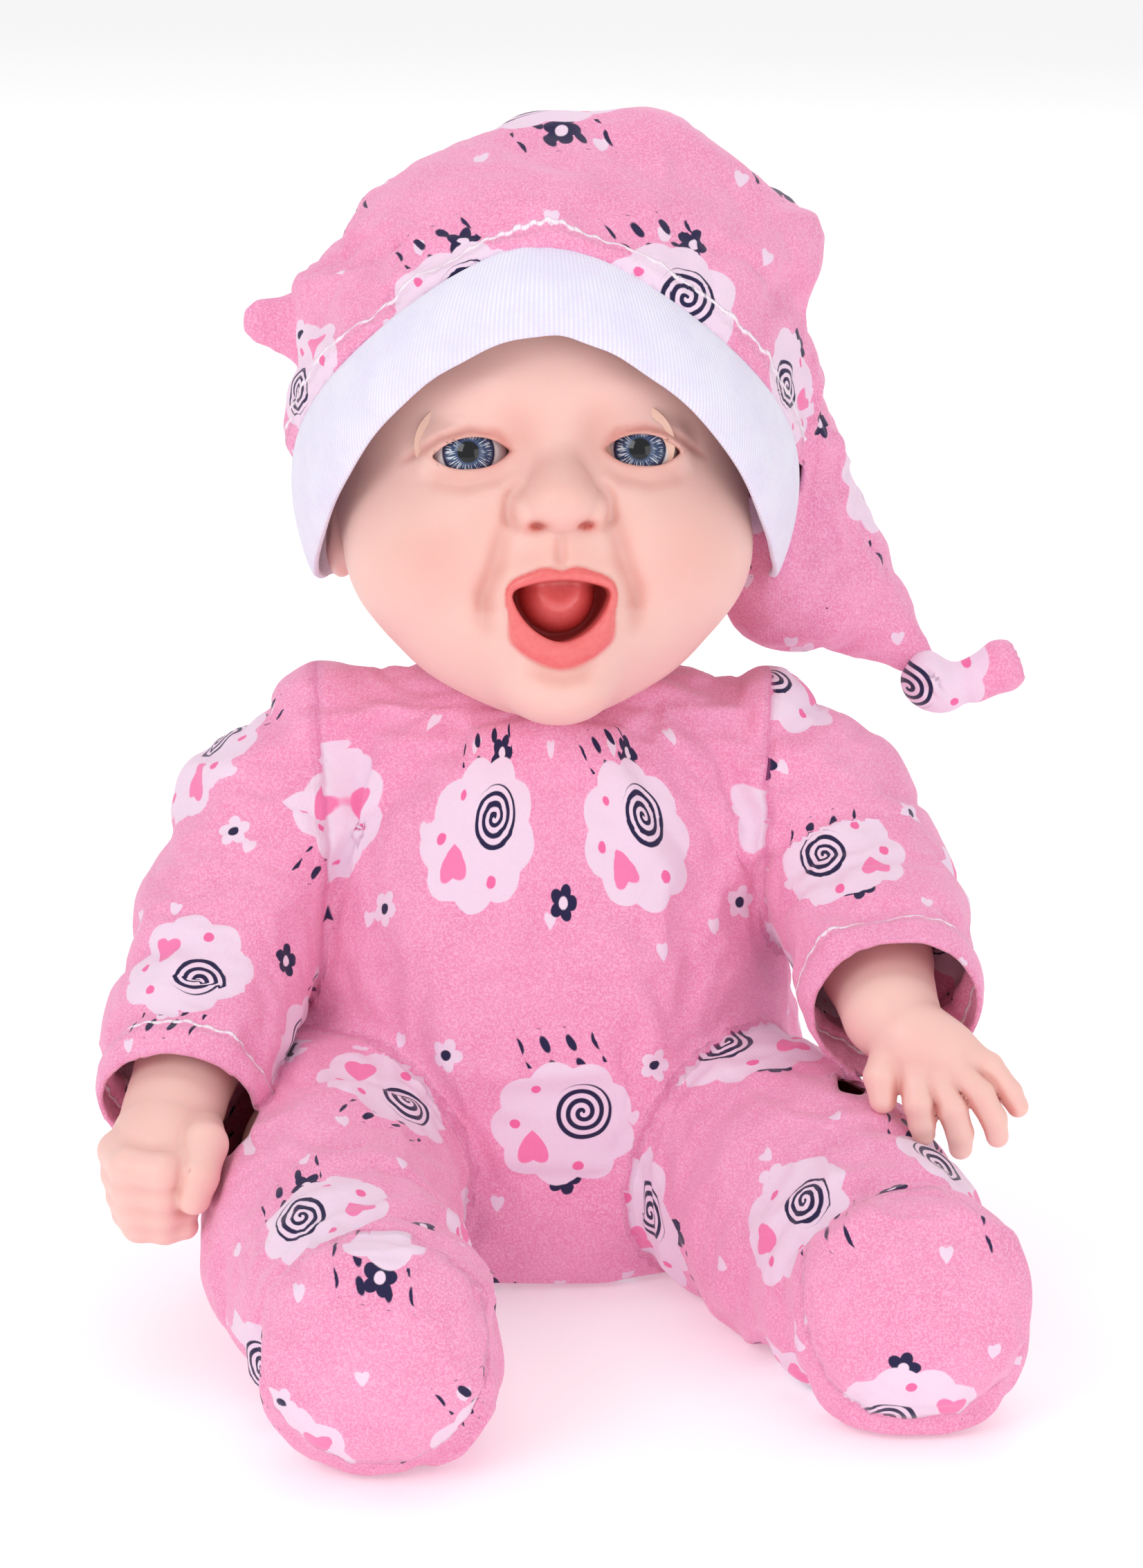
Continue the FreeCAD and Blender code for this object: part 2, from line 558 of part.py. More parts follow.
def knot_form(middle, towards):
    """A round knot with a short flared end, turned about the line from its middle."""
    foot = V(0, 0, -6)
    tip = V(0, 0, 16.2)
    sides = [V(r, 0, z) for r, z in
             ((4.2, -4.3), (6, 0), (4.6, 3.9), (2.8, 6.2), (3, 9.5), (4.4, 13), (3.4, 15.4))]
    curve = Part.BSplineCurve()
    curve.interpolate(sides)
    outline = Part.Wire([Part.makeLine(foot, sides[0]), curve.toShape(),
                         Part.makeLine(sides[-1], tip), Part.makeLine(tip, foot)])
    solid = Part.Face(outline).revolve(V(0, 0, 0), Z, 360)
    solid.Placement = FreeCAD.Placement(middle, FreeCAD.Rotation(Z, towards))
    return solid


def hat_parts(nodes):
    inner, outer = hat_form(0), hat_form(HAT_THICK)
    brim, seam = below_brim(0), below_brim(BAND_WIDTH)
    shell = outer.cut(inner).cut(brim)
    nodes["hat_band"] = one_solid(shell.common(seam))
    lumps = [(V(22, 10, 200), (29, 27, 32)), (V(-17, 8, 196), (35, 34, 26))]
    corner = capsule(V(-44, 14, 191), V(-59, 16, 187), 8, 4)
    full = outer.fuse([ellipsoid(middle, half) for middle, half in lumps] + [corner])
    room = inner.fuse([ellipsoid(middle, [h - HAT_THICK for h in half]) for middle, half in lumps])
    nodes["hat_crown"] = one_solid(full.cut(room).cut(seam))
    knot = knot_form(V(83, 20, 113), V(13, 0, 4))
    tail = Part.makeLoft([oval(V(x, y, z), w, d) for x, y, z, w, d in TAIL], True, False)
    nodes["hat_tail"] = one_solid(tail.cut(full).cut(knot))
    nodes["hat_knot"] = knot


def build():
    nodes = {}
    nodes["torso_front_shell"], nodes["torso_back_shell"] = torso_shells()
    nodes["torso_screws"] = torso_screws()
    battery_parts(nodes)
    speaker_parts(nodes)
    board_parts(nodes)
    button_parts(nodes)
    switch_parts(nodes)
    lead_parts(nodes)
    head_parts(nodes)
    arm_parts(nodes, "left", ARM_LEFT, hand_open)
    arm_parts(nodes, "right", ARM_RIGHT, hand_fist)
    leg_parts(nodes, "left", LEG_LEFT)
    leg_parts(nodes, "right", LEG_RIGHT)
    suit_parts(nodes)
    hat_parts(nodes)
    return nodes


def main():
    os.makedirs("parts", exist_ok=True)
    for name, shape in build().items():
        if isinstance(shape, list):
            shape = Part.Compound(shape)
        if not shape.isValid():
            print("not valid:", name)
        print(f"{name}: {len(shape.Solids)} solids, {shape.Volume / 1000:.2f} cm3")
        shape.exportStep(f"parts/{name}.step")


main()
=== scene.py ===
import json
import math

import bmesh
import bpy
import numpy as np
from mathutils import Matrix, Vector


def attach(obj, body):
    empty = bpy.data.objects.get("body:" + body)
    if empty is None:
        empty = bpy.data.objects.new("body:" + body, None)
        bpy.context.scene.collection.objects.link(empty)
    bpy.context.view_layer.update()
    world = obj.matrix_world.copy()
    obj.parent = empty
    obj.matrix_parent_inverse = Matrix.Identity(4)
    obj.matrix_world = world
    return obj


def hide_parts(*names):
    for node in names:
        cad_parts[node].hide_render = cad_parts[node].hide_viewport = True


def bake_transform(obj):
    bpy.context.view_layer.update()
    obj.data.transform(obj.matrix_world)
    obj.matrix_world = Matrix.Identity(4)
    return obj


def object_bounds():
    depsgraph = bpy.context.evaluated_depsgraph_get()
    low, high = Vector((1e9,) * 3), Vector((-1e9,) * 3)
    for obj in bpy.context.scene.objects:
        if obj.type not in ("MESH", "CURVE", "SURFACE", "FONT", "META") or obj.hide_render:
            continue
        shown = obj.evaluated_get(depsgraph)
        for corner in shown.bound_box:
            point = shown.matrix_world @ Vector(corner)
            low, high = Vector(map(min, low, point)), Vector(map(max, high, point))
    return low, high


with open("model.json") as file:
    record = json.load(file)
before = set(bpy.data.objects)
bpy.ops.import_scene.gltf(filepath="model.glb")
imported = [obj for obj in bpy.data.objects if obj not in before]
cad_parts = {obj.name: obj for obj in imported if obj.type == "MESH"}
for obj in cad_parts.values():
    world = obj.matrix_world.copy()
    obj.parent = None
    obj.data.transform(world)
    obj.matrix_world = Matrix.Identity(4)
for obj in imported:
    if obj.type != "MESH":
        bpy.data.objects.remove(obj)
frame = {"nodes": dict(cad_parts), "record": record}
CAD_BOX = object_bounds()

MM = 0.001
REST_AXES = ("rx", "ry", "rz")
NO_HEM = 99.0                       # a distance at which no hem or seam shows


# ---------------------------------------------------------------- distance fields, in millimetres
# Every shape is a function of points that gives their signed distance, negative inside. Parts are joined and
# cut with rounded minima and maxima, and surface() turns the result into a mesh of quads.
def arr(*values):
    return np.array(values, dtype=np.float64)


def smin(a, b, k):
    """The union of two distances, with a fillet about k wide."""
    h = np.clip(0.5 + 0.5 * (b - a) / k, 0, 1)
    return b + (a - b) * h - k * h * (1 - h)


def smax(a, b, k):
    """The intersection of two distances, with an edge rounded over about k."""
    return -smin(-a, -b, k)


def turn(p, rx=0, ry=0, rz=0):
    """Points seen from a frame turned by these angles in degrees."""
    m = np.array(Matrix.Rotation(math.radians(rz), 3, "Z") @ Matrix.Rotation(math.radians(ry), 3, "Y")
                 @ Matrix.Rotation(math.radians(rx), 3, "X"))
    return p @ m


def ell(p, centre, radii, rx=0, ry=0, rz=0):
    """An ellipsoid, turned by angles in degrees."""
    q = p - np.array(centre, dtype=np.float64)
    if rx or ry or rz:
        q = turn(q, rx, ry, rz)
    r = np.array(radii, dtype=np.float64)
    k0 = np.sqrt(((q / r) ** 2).sum(-1))
    k1 = np.sqrt(((q / r ** 2) ** 2).sum(-1)) + 1e-9
    return k0 * (k0 - 1) / k1


def along(p, a, b):
    """How far along a line from a to b each point lies, 0 to 1, and its distance from the line."""
    a, b = np.array(a, dtype=np.float64), np.array(b, dtype=np.float64)
    ab = b - a
    t = np.clip(((p - a) @ ab) / (ab @ ab), 0, 1)
    return t, np.linalg.norm(p - a - t[..., None] * ab, axis=-1)


def cap(p, a, b, ra, rb=None):
    """A round-ended rod from a to b whose radius goes from ra to rb."""
    t, d = along(p, a, b)
    return d - (ra + ((ra if rb is None else rb) - ra) * t)


def chain(p, points, radii, k=0.0):
    """Rods from point to point, with joins rounded over k."""
    d = None
    for i in range(len(points) - 1):
        e = cap(p, points[i], points[i + 1], radii[i], radii[i + 1])
        d = e if d is None else (smin(d, e, k) if k else np.minimum(d, e))
    return d


def surface(field, low, high, step, polish=2):
    """Naive surface nets: vertices and quads of the zero surface of field."""
    low, high = np.array(low, float), np.array(high, float)
    n = np.ceil((high - low) / step).astype(int) + 1
    xs, ys, zs = (low[i] + step * np.arange(n[i]) for i in range(3))
    v = np.empty(n, dtype=np.float32)
    slab = max(1, int(400000 / (n[1] * n[2])))
    for i in range(0, n[0], slab):
        g = np.stack(np.meshgrid(xs[i:i + slab], ys, zs, indexing="ij"), -1)
        v[i:i + slab] = field(g.reshape(-1, 3)).reshape(g.shape[:3])
    inside = v < 0
    corners = [(i, j, k) for i in (0, 1) for j in (0, 1) for k in (0, 1)]
    total = sum(inside[i:n[0] - 1 + i, j:n[1] - 1 + j, k:n[2] - 1 + k].astype(np.int8) for i, j, k in corners)
    cells = (total > 0) & (total < 8)
    idx = -np.ones(cells.shape, dtype=np.int64)
    ijk = np.argwhere(cells)
    idx[cells] = np.arange(len(ijk))
    acc = np.zeros((len(ijk), 3))
    cnt = np.zeros(len(ijk))
    for a in corners:
        for ax in range(3):
            if a[ax]:
                continue
            b = list(a)
            b[ax] = 1
            va = v[tuple((ijk + np.array(a)).T)]
            vb = v[tuple((ijk + np.array(b)).T)]
            m = (va < 0) != (vb < 0)
            t = va[m] / (va[m] - vb[m])
            pos = np.array(a, float) + np.zeros((m.sum(), 3))
            pos[:, ax] = t
            acc[m] += pos
            cnt[m] += 1
    verts = low + (ijk + acc / cnt[:, None]) * step
    quads = []
    for ax in range(3):
        o = [(0, 1, 2), (1, 2, 0), (2, 0, 1)][ax]
        sl_a = [slice(None)] * 3
        sl_b = [slice(None)] * 3
        sl_a[ax], sl_b[ax] = slice(0, n[ax] - 1), slice(1, n[ax])
        for q in (o[1], o[2]):
            sl_a[q] = sl_b[q] = slice(1, n[q] - 1)
        ia, ib = inside[tuple(sl_a)], inside[tuple(sl_b)]
        e = np.argwhere(ia != ib)
        flip = ib[tuple(e.T)]
        base = e.copy()
        base[:, o[1]] += 1
        base[:, o[2]] += 1

        def cell(d1, d2):
            t = base.copy()
            t[:, o[1]] += d1
            t[:, o[2]] += d2
            return idx[tuple(t.T)]
        quad = np.stack([cell(-1, -1), cell(0, -1), cell(0, 0), cell(-1, 0)], 1)
        quad[flip] = quad[flip][:, ::-1]
        quads.append(quad)
    quads = np.concatenate(quads)
    for _ in range(polish):
        verts = pull(field, verts, step * 0.6)
    return verts, quads


def pull(field, verts, most):
    """Moves points onto the field's zero surface, each by at most so much."""
    d = field(verts)
    g = gradient(field, verts)
    return verts - g * np.clip(d, -most, most)[:, None]


def gradient(field, verts, h=0.05):
    g = np.stack([field(verts + np.eye(3)[i] * h) - field(verts - np.eye(3)[i] * h) for i in range(3)], -1)
    return g / (np.linalg.norm(g, axis=1, keepdims=True) + 1e-12)


# ---------------------------------------------------------------- meshes
def compact(verts, quads):
    """The vertices that quads use, and quads numbered by them; also which vertices those are."""
    used = np.unique(quads)
    back = np.zeros(len(verts), dtype=np.int64)
    back[used] = np.arange(len(used))
    return verts[used], back[quads], used


def make(name, verts, quads):
    """A smooth mesh object in the row frame, from millimetres."""
    verts, quads, _ = compact(verts, quads)
    me = bpy.data.meshes.new(name)
    me.vertices.add(len(verts))
    me.vertices.foreach_set("co", (verts * MM).astype(np.float32).ravel())
    me.loops.add(quads.size)
    me.loops.foreach_set("vertex_index", quads.astype(np.int32).ravel())
    me.polygons.add(len(quads))
    me.polygons.foreach_set("loop_start", np.arange(0, quads.size, quads.shape[1], dtype=np.int32))
    me.update(calc_edges=True)
    me.validate()
    me.polygons.foreach_set("use_smooth", np.ones(len(me.polygons), dtype=bool))
    ob = bpy.data.objects.new(name, me)
    bpy.context.scene.collection.objects.link(ob)
    return ob


def coords(ob):
    co = np.empty(len(ob.data.vertices) * 3, dtype=np.float32)
    ob.data.vertices.foreach_get("co", co)
    return co.reshape(-1, 3).astype(np.float64) / MM


def set_coords(ob, verts):
    ob.data.vertices.foreach_set("co", (verts * MM).astype(np.float32).ravel())
    ob.data.update()


def attr(ob, name, values):
    """Stores one number per vertex."""
    a = ob.data.attributes.new(name, "FLOAT", "POINT")
    a.data.foreach_set("value", np.asarray(values, dtype=np.float32))


def attr_of(ob, name):
    x = np.empty(len(ob.data.vertices), dtype=np.float32)
    ob.data.attributes[name].data.foreach_get("value", x)
    return x


def keep_rest(ob, verts):
    """Stores where the vertices were before the cloth moved, for seams and prints."""
    for i, axis in enumerate(REST_AXES):
        attr(ob, axis, verts[:, i])


def rest_of(ob):
    return np.stack([attr_of(ob, axis).astype(np.float64) for axis in REST_AXES], 1)


def modifier(ob, kind, **settings):
    m = ob.modifiers.new(kind.lower(), kind)
    for k, v in settings.items():
        setattr(m, k, v)
    return m


def bake(ob):
    """Applies every modifier."""
    dg = bpy.context.evaluated_depsgraph_get()
    me = bpy.data.meshes.new_from_object(ob.evaluated_get(dg), preserve_all_data_layers=True, depsgraph=dg)
    ob.modifiers.clear()
    ob.data = me
    return ob


# ---------------------------------------------------------------- node helpers
class N:
    """A node socket with arithmetic, so that patterns read as formulas."""
    tree = None

    def __init__(self, socket):
        self.s = socket

    @staticmethod
    def math(op, *args):
        n = N.tree.nodes.new("ShaderNodeMath")
        n.operation = op
        for i, a in enumerate(args):
            if isinstance(a, N):
                N.tree.links.new(a.s, n.inputs[i])
            else:
                n.inputs[i].default_value = a
        return N(n.outputs[0])

    def __add__(self, o): return N.math("ADD", self, o)
    def __radd__(self, o): return N.math("ADD", o, self)
    def __sub__(self, o): return N.math("SUBTRACT", self, o)
    def __rsub__(self, o): return N.math("SUBTRACT", o, self)
    def __mul__(self, o): return N.math("MULTIPLY", self, o)
    def __rmul__(self, o): return N.math("MULTIPLY", o, self)
    def __truediv__(self, o): return N.math("DIVIDE", self, o)
    def abs(self): return N.math("ABSOLUTE", self)
    def sin(self): return N.math("SINE", self)
    def cos(self): return N.math("COSINE", self)
    def sqrt(self): return N.math("SQRT", self)
    def fract(self): return N.math("FRACT", self)
    def floor(self): return N.math("FLOOR", self)
    def min(self, o): return N.math("MINIMUM", self, o)
    def max(self, o): return N.math("MAXIMUM", self, o)
    def gt(self, o): return N.math("GREATER_THAN", self, o)
    def lt(self, o): return N.math("LESS_THAN", self, o)

    def soft(self, edge, width):
        """1 where this is under edge, 0 past it, with a soft step of that width."""
        n = N.tree.nodes.new("ShaderNodeMapRange")
        n.interpolation_type = "SMOOTHSTEP"
        n.inputs["From Min"].default_value = edge - width / 2
        n.inputs["From Max"].default_value = edge + width / 2
        n.inputs["To Min"].default_value = 1
        n.inputs["To Max"].default_value = 0
        N.tree.links.new(self.s, n.inputs["Value"])
        return N(n.outputs["Result"])


def hyp(x, y):
    return (x * x + y * y).sqrt()


def node(kind, **inputs):
    """A shader node with its inputs linked or set, by name, or by number as _0."""
    n = N.tree.nodes.new(kind)
    for k, v in inputs.items():
        sock = n.inputs[k.replace("_", " ")] if k.replace("_", " ") in n.inputs else n.inputs[int(k[1:])]
        if isinstance(v, N):
            N.tree.links.new(v.s, sock)
        else:
            sock.default_value = v
    return n


def read(name):
    """A vertex attribute as a socket."""
    n = N.tree.nodes.new("ShaderNodeAttribute")
    n.attribute_name = name
    return N(n.outputs["Fac"])


def mix(factor, a, b):
    """Colour mix, where a and b are sockets or RGB tuples."""
    n = N.tree.nodes.new("ShaderNodeMix")
    n.data_type = "RGBA"
    for sock, v in ((n.inputs[0], factor), (n.inputs[6], a), (n.inputs[7], b)):
        if isinstance(v, N):
            N.tree.links.new(v.s, sock)
        elif isinstance(v, tuple):
            sock.default_value = (*v, 1)
        else:
            sock.default_value = v
    return N(n.outputs[2])


def noise(scale, detail=2.0, vector=None, rough=0.5):
    n = N.tree.nodes.new("ShaderNodeTexNoise")
    n.inputs["Scale"].default_value = scale
    n.inputs["Detail"].default_value = detail
    n.inputs["Roughness"].default_value = rough
    if vector is None:
        vector = object_coords()
    N.tree.links.new(vector.s, n.inputs["Vector"])
    return N(n.outputs["Fac"])


def object_coords():
    return N(N.tree.nodes.new("ShaderNodeTexCoord").outputs["Object"])


def bump(height, strength, distance, normal=None):
    n = N.tree.nodes.new("ShaderNodeBump")
    n.inputs["Strength"].default_value = strength
    n.inputs["Distance"].default_value = distance
    N.tree.links.new(height.s, n.inputs["Height"])
    if normal is not None:
        N.tree.links.new(normal.s, n.inputs["Normal"])
    return N(n.outputs["Normal"])


def material(name, **constants):
    """A Principled material with its constants on the shader. Gives both."""
    m = bpy.data.materials.new(name)
    m.use_nodes = True
    N.tree = m.node_tree
    p = N.tree.nodes["Principled BSDF"]
    for k, v in constants.items():
        is_colour = isinstance(v, tuple) and "Radius" not in k
        p.inputs[k.replace("_", " ")].default_value = (*v, 1) if is_colour else v
    return m, p


def plug(shader, name, value):
    N.tree.links.new(value.s, shader.inputs[name])


def lin(r, g, b):
    """A linear colour from sRGB values of 0 to 255."""
    return tuple((c / 255 / 12.92) if c / 255 <= 0.04045 else ((c / 255 + 0.055) / 1.055) ** 2.4
                 for c in (r, g, b))


# ---------------------------------------------------------------- camera, lights, floor
CAMERA_PITCH = 16                   # degrees downwards
CAMERA_LENS = 113.4                 # for a sensor 36 mm high
CAMERA_DISTANCE = 1.0
DOLL_MIDDLE = Vector((0.0052, 0, 0.110))
PICTURE_MIDDLE = 0.0127             # how far the picture's middle lies under the doll's


def studio():
    """A high camera at the doll's front, four soft lamps and a pale floor."""
    scene = bpy.context.scene
    cam = bpy.data.cameras.new("camera")
    cam.sensor_fit = "VERTICAL"
    cam.sensor_height = 36
    cam.lens = CAMERA_LENS
    ob = bpy.data.objects.new("camera", cam)
    scene.collection.objects.link(ob)
    e = math.radians(CAMERA_PITCH)
    back = Vector((0, -math.cos(e), math.sin(e)))
    up = Vector((0, math.sin(e), math.cos(e)))
    ob.location = DOLL_MIDDLE - up * PICTURE_MIDDLE + back * CAMERA_DISTANCE
    ob.rotation_euler = (math.radians(90 - CAMERA_PITCH), 0, 0)
    scene.camera = ob

    def area(name, at, look, size, power):
        light = bpy.data.lights.new(name, "AREA")
        light.shape = "RECTANGLE"
        light.size, light.size_y = size
        light.energy = power
        lamp = bpy.data.objects.new(name, light)
        lamp.location = at
        lamp.rotation_euler = (Vector(look) - Vector(at)).to_track_quat("-Z", "Y").to_euler()
        scene.collection.objects.link(lamp)

    area("key", (-0.9, -1.2, 1.0), (0, 0, 0.12), (0.8, 0.8), 7.5)
    area("fill", (1.0, -1.3, 0.35), (0, 0, 0.1), (1.0, 1.0), 4.6)
    area("top", (0, 0.3, 1.6), (0, 0, 0.1), (1.2, 1.2), 3.4)
    area("rim", (0.3, 1.3, 0.9), (0, 0, 0.15), (1.2, 0.6), 3)
    world = bpy.data.worlds.new("studio")
    world.use_nodes = True
    world.node_tree.nodes["Background"].inputs[0].default_value = (1, 0.99, 0.99, 1)
    world.node_tree.nodes["Background"].inputs[1].default_value = 0.7
    scene.world = world
    scene.view_settings.view_transform = "Standard"

    m, p = material("floor_paper", Roughness=0.9, Emission_Color=(1.0, 1.0, 1.0), Emission_Strength=0.24)
    grain = noise(300, 3)
    plug(p, "Base Color", mix(grain * 0.04, (0.93, 0.925, 0.93), (0.85, 0.85, 0.86)))
    me = bpy.data.meshes.new("floor")
    half = 3.0
    z = CAD_BOX[0][2] - 0.0002
    corners = [(-half, -half, z), (half, -half, z), (half, half, z), (-half, half, z)]
    me.from_pydata(corners, [], [(0, 1, 2, 3)])
    me.materials.append(m)
    floor = bpy.data.objects.new("floor", me)
    scene.collection.objects.link(floor)


# ---------------------------------------------------------------- vinyl
VINYL_TINTS = ("blush_and_shade", "lip", "mouth_shade")


def vinyl_material():
    """Soft matt vinyl, tinted with lip colour, with blush that carries painted shade in creases, and with
    painted shade in the mouth.
    """
    m, p = material("vinyl", Roughness=0.42, IOR=1.46, Subsurface_Weight=0.35, Subsurface_Scale=0.004,
                    Subsurface_Radius=(1.0, 0.38, 0.22), Coat_Weight=0.06, Coat_Roughness=0.35)
    blush_and_shade, lip, mouth_shade = (read(n) for n in VINYL_TINTS)
    mottle = noise(60, 3)
    base = mix(mottle, lin(237, 190, 181), lin(243, 202, 192))
    # blush, with painted shade in creases, round the eyes and in the nostrils: darker and redder
    base = mix(blush_and_shade, base, lin(208, 112, 100))
    lips = mix(noise(900, 2), lin(228, 104, 106), lin(236, 128, 126))
    base = mix(lip, base, lips)
    # painted shade deeper in the mouth, darker coral
    base = mix(mouth_shade, base, lin(196, 78, 74))
    plug(p, "Base Color", base)
    rough = 0.46 - lip * 0.2 + (noise(1400, 2) - 0.5) * 0.06
    plug(p, "Roughness", rough)
    plug(p, "Normal", bump(noise(2600, 2), 0.12, 0.0002))
    return m


FACE_TURN = (-13, 0, 5)             # the face looks up and a little to its own left
FACE_AT = arr(-0.6, 4, 153.5)       # the head's middle, at the height of the nose's tip


def face_matrix():
    return np.array(Matrix.Rotation(math.radians(FACE_TURN[2]), 3, "Z")
                    @ Matrix.Rotation(math.radians(FACE_TURN[0]), 3, "X"))


def to_face(p):
    return (p - FACE_AT) @ face_matrix()


def from_face(q):
    return q @ face_matrix().T + FACE_AT


EYE_X, EYE_Z, EYE_Y, EYE_R = 16.6, 10.6, -31.6, 7.7
LID_CREASE = [(-8.4, 0.6), (-5.0, 3.5), (0.5, 4.5), (6.0, 3.0), (9.5, 0.6), (14.0, -2.0)]
LID_LOW = [(-8.0, -2.4), (-4.5, -5.0), (1.0, -6.0), (6.5, -4.8), (9.5, -3.2)]
SMILE = [(8.6, 0.5), (10.8, -4.5), (12.4, -10.5), (14.4, -16.5), (15.0, -21.5), (13.6, -26.5)]


def line_distance(x, z, points):
    """Distance in the plane from a line through the points, and how far along it, 0 to 1."""
    best = np.full(x.shape, 1e9)
    where = np.zeros(x.shape)
    n = len(points) - 1
    for i in range(n):
        (ax, az), (bx, bz) = points[i], points[i + 1]
        dx, dz = bx - ax, bz - az
        t = np.clip(((x - ax) * dx + (z - az) * dz) / (dx * dx + dz * dz), 0, 1)
        d = np.hypot(x - ax - t * dx, z - az - t * dz)
        m = d < best
        best = np.where(m, d, best)
        where = np.where(m, (i + t) / n, where)
    return best, where


def groove(x, z, points, width, depth, fade=0.25):
    d, t = line_distance(x, z, points)
    ends = np.clip(t / fade, 0, 1) * np.clip((1 - t) / fade, 0, 1)
    return depth * np.exp(-(d / width) ** 2) * ends


def bell(x, z, cx, cz, wx, wz):
    return np.exp(-((x - cx) / wx) ** 2 - ((z - cz) / wz) ** 2)


def mouth_hole(q):
    """2D outline of the open mouth, seen from the front."""
    x, z = q[..., 0], q[..., 2]
    k = (np.abs(x / 9.7) ** 1.75 + np.abs((z + 15.6) / 10.6) ** 1.75) ** (1 / 1.75)
    bowl = (k - 1) * 9.0
    top = z + 14.3 + 0.021 * x * x
    return smax(bowl, top, 1.6)


def lip_share(q):
    """0 at the mouth's edge and 1 at the lips' outer line."""
    x, z = q[..., 0], q[..., 2]
    low = np.clip((-19.5 - z) / 7.5, 0, 1)
    low = low * low * (3 - 2 * low)
    upper = 2.6 - 0.6 * np.exp(-(x / 1.7) ** 2) + 0.35 * bell(np.abs(x), 0, 3.4, 0, 2.2, 1)
    high = np.clip((z + 17.0) / 3.0, 0, 1)
    width = 1.9 + 2.9 * low
    width = width + (upper - width) * high - 0.8 * bell(np.abs(x), z, 11.2, -15.6, 2.6, 2.6)
    return mouth_hole(q) / width


def eye_hole(q):
    """Almond opening between the lids."""
    x, z = np.abs(q[..., 0]) - EYE_X, q[..., 2] - EYE_Z
    upper = 3.2 * (1 - np.abs(x / 7.7) ** 2.2) - 0.25 - 0.05 * x
    lower = -3.0 * (1 - np.abs(x / 7.7) ** 2.6) - 0.15 - 0.05 * x
    return np.maximum(z - upper, lower - z) * 0.8


def face_parts(q):
    """The head with its lips but without holes."""
    qs = q.copy()
    qs[..., 0] = np.abs(q[..., 0])
    x, z = qs[..., 0], q[..., 2]
    d = ell(q, (0, 3.5, 21.5), (41.3, 47.5, 46))
    d = smin(d, ell(q, (0, -2, -3), (40.2, 40, 31)), 10)
    d = smin(d, ell(qs, (20.5, -17.5, -9.5), (18.5, 20.5, 17.5)), 8)
    d = smin(d, ell(q, (0, -17.5, -23.5), (22.5, 23, 18.3)), 8)
    d = smin(d, ell(qs, (15.0, -14, -20), (14.5, 17, 14)), 7)
    d = smin(d, ell(q, (0, -32.0, -35.2), (9.5, 8.0, 6.8)), 5)
    d = smin(d, ell(q, (0, -30.0, -17), (15.5, 12.0, 15)), 6)
    front = np.clip((-q[..., 1] - 14) / 10, 0, 1)
    soft = 1.9 * bell(x, z, EYE_X - 0.5, EYE_Z + 1.5, 9.5, 6.0) + 1.3 * bell(x, z, 7.6, 12.5, 4.0, 6.0)
    soft -= 1.1 * bell(x, z, 13, 22.5, 11, 5) + 0.8 * bell(x, z, 24, -2, 9, 7)
    d = d + soft * front
    # the lids, over the ball
    d = smin(d, ell(qs, (EYE_X, EYE_Y, EYE_Z), (EYE_R + 2.2, EYE_R + 1.2, EYE_R + 1.0)), 1.8)
    # nose
    nose = cap(q, (0, -36.5, 15), (0, -42.8, 5), 3.4, 4.6)
    nose = smin(nose, ell(q, (0, -44.9, 0.9), (6.6, 7.0, 5.7)), 3.5)
    nose = smin(nose, ell(qs, (6.2, -41.6, -0.9), (3.5, 5.6, 4.1)), 1.0)
    d = smin(d, nose, 1.3)
    # lids' creases, bags, smile folds, philtrum, chin
    ex, ez = x - EYE_X, z - EYE_Z
    fine = groove(ex, ez, LID_CREASE, 0.75, 0.6, 0.2) + groove(ex, ez, LID_LOW, 1.6, 0.7)
    fine += groove(x, z, [(7.5, 5.0), (9.9, 1.5), (10.2, -2.0), (8.0, -5.4)], 1.1, 1.3)
    fine += groove(x, z, SMILE, 1.8, 1.5, 0.3) - 0.7 * bell(x, z, 16.8, -6, 3.6, 8)
    fine += 0.7 * bell(x, z, 15.4, -17.5, 2.2, 3.0)
    fine += groove(q[..., 0], z, [(0, -4.6), (0, -12.2)], 1.1, 1.25) - 0.28 * bell(x, z, 2.4, -9, 0.9, 3)
    fine += groove(q[..., 0], z, [(-8, -31.0), (0, -33.0), (8, -31.0)], 1.9, 0.9)
    d = d + fine * front
    # lips, raised round the mouth
    t = np.clip(lip_share(q), -0.35, 1)
    low = np.clip((-16.0 - z) / 8.0, 0, 1)
    rise = (1.35 + 0.85 * low) * np.sqrt(np.clip(1 - ((t - 0.42) / 0.60) ** 2, 0, 1))
    d = d - rise * front * (q[..., 1] < -18)
    # nostrils
    d = smax(d, -ell(qs, (4.8, -47.2, -3.9), (1.75, 4.0, 0.95), ry=-10, rz=8), 0.7)
    # ears
    d = smin(d, ell(qs, (40.2, 9, -3), (4.2, 6.5, 10.5), rx=12), 2.5)
    d = smax(d, -ell(qs, (43.8, 6.0, -1), (1.8, 3.2, 6), rx=12), 1.4)
    return d


def tongue_of(q):
    t = ell(q, (0, -29.5, -17.0), (7.3, 9.0, 7.6))
    scoop = ell(q, (0, -42.5, -14.0), (5.2, 7.0, 6.4))
    return smax(t, -scoop, 1.6)


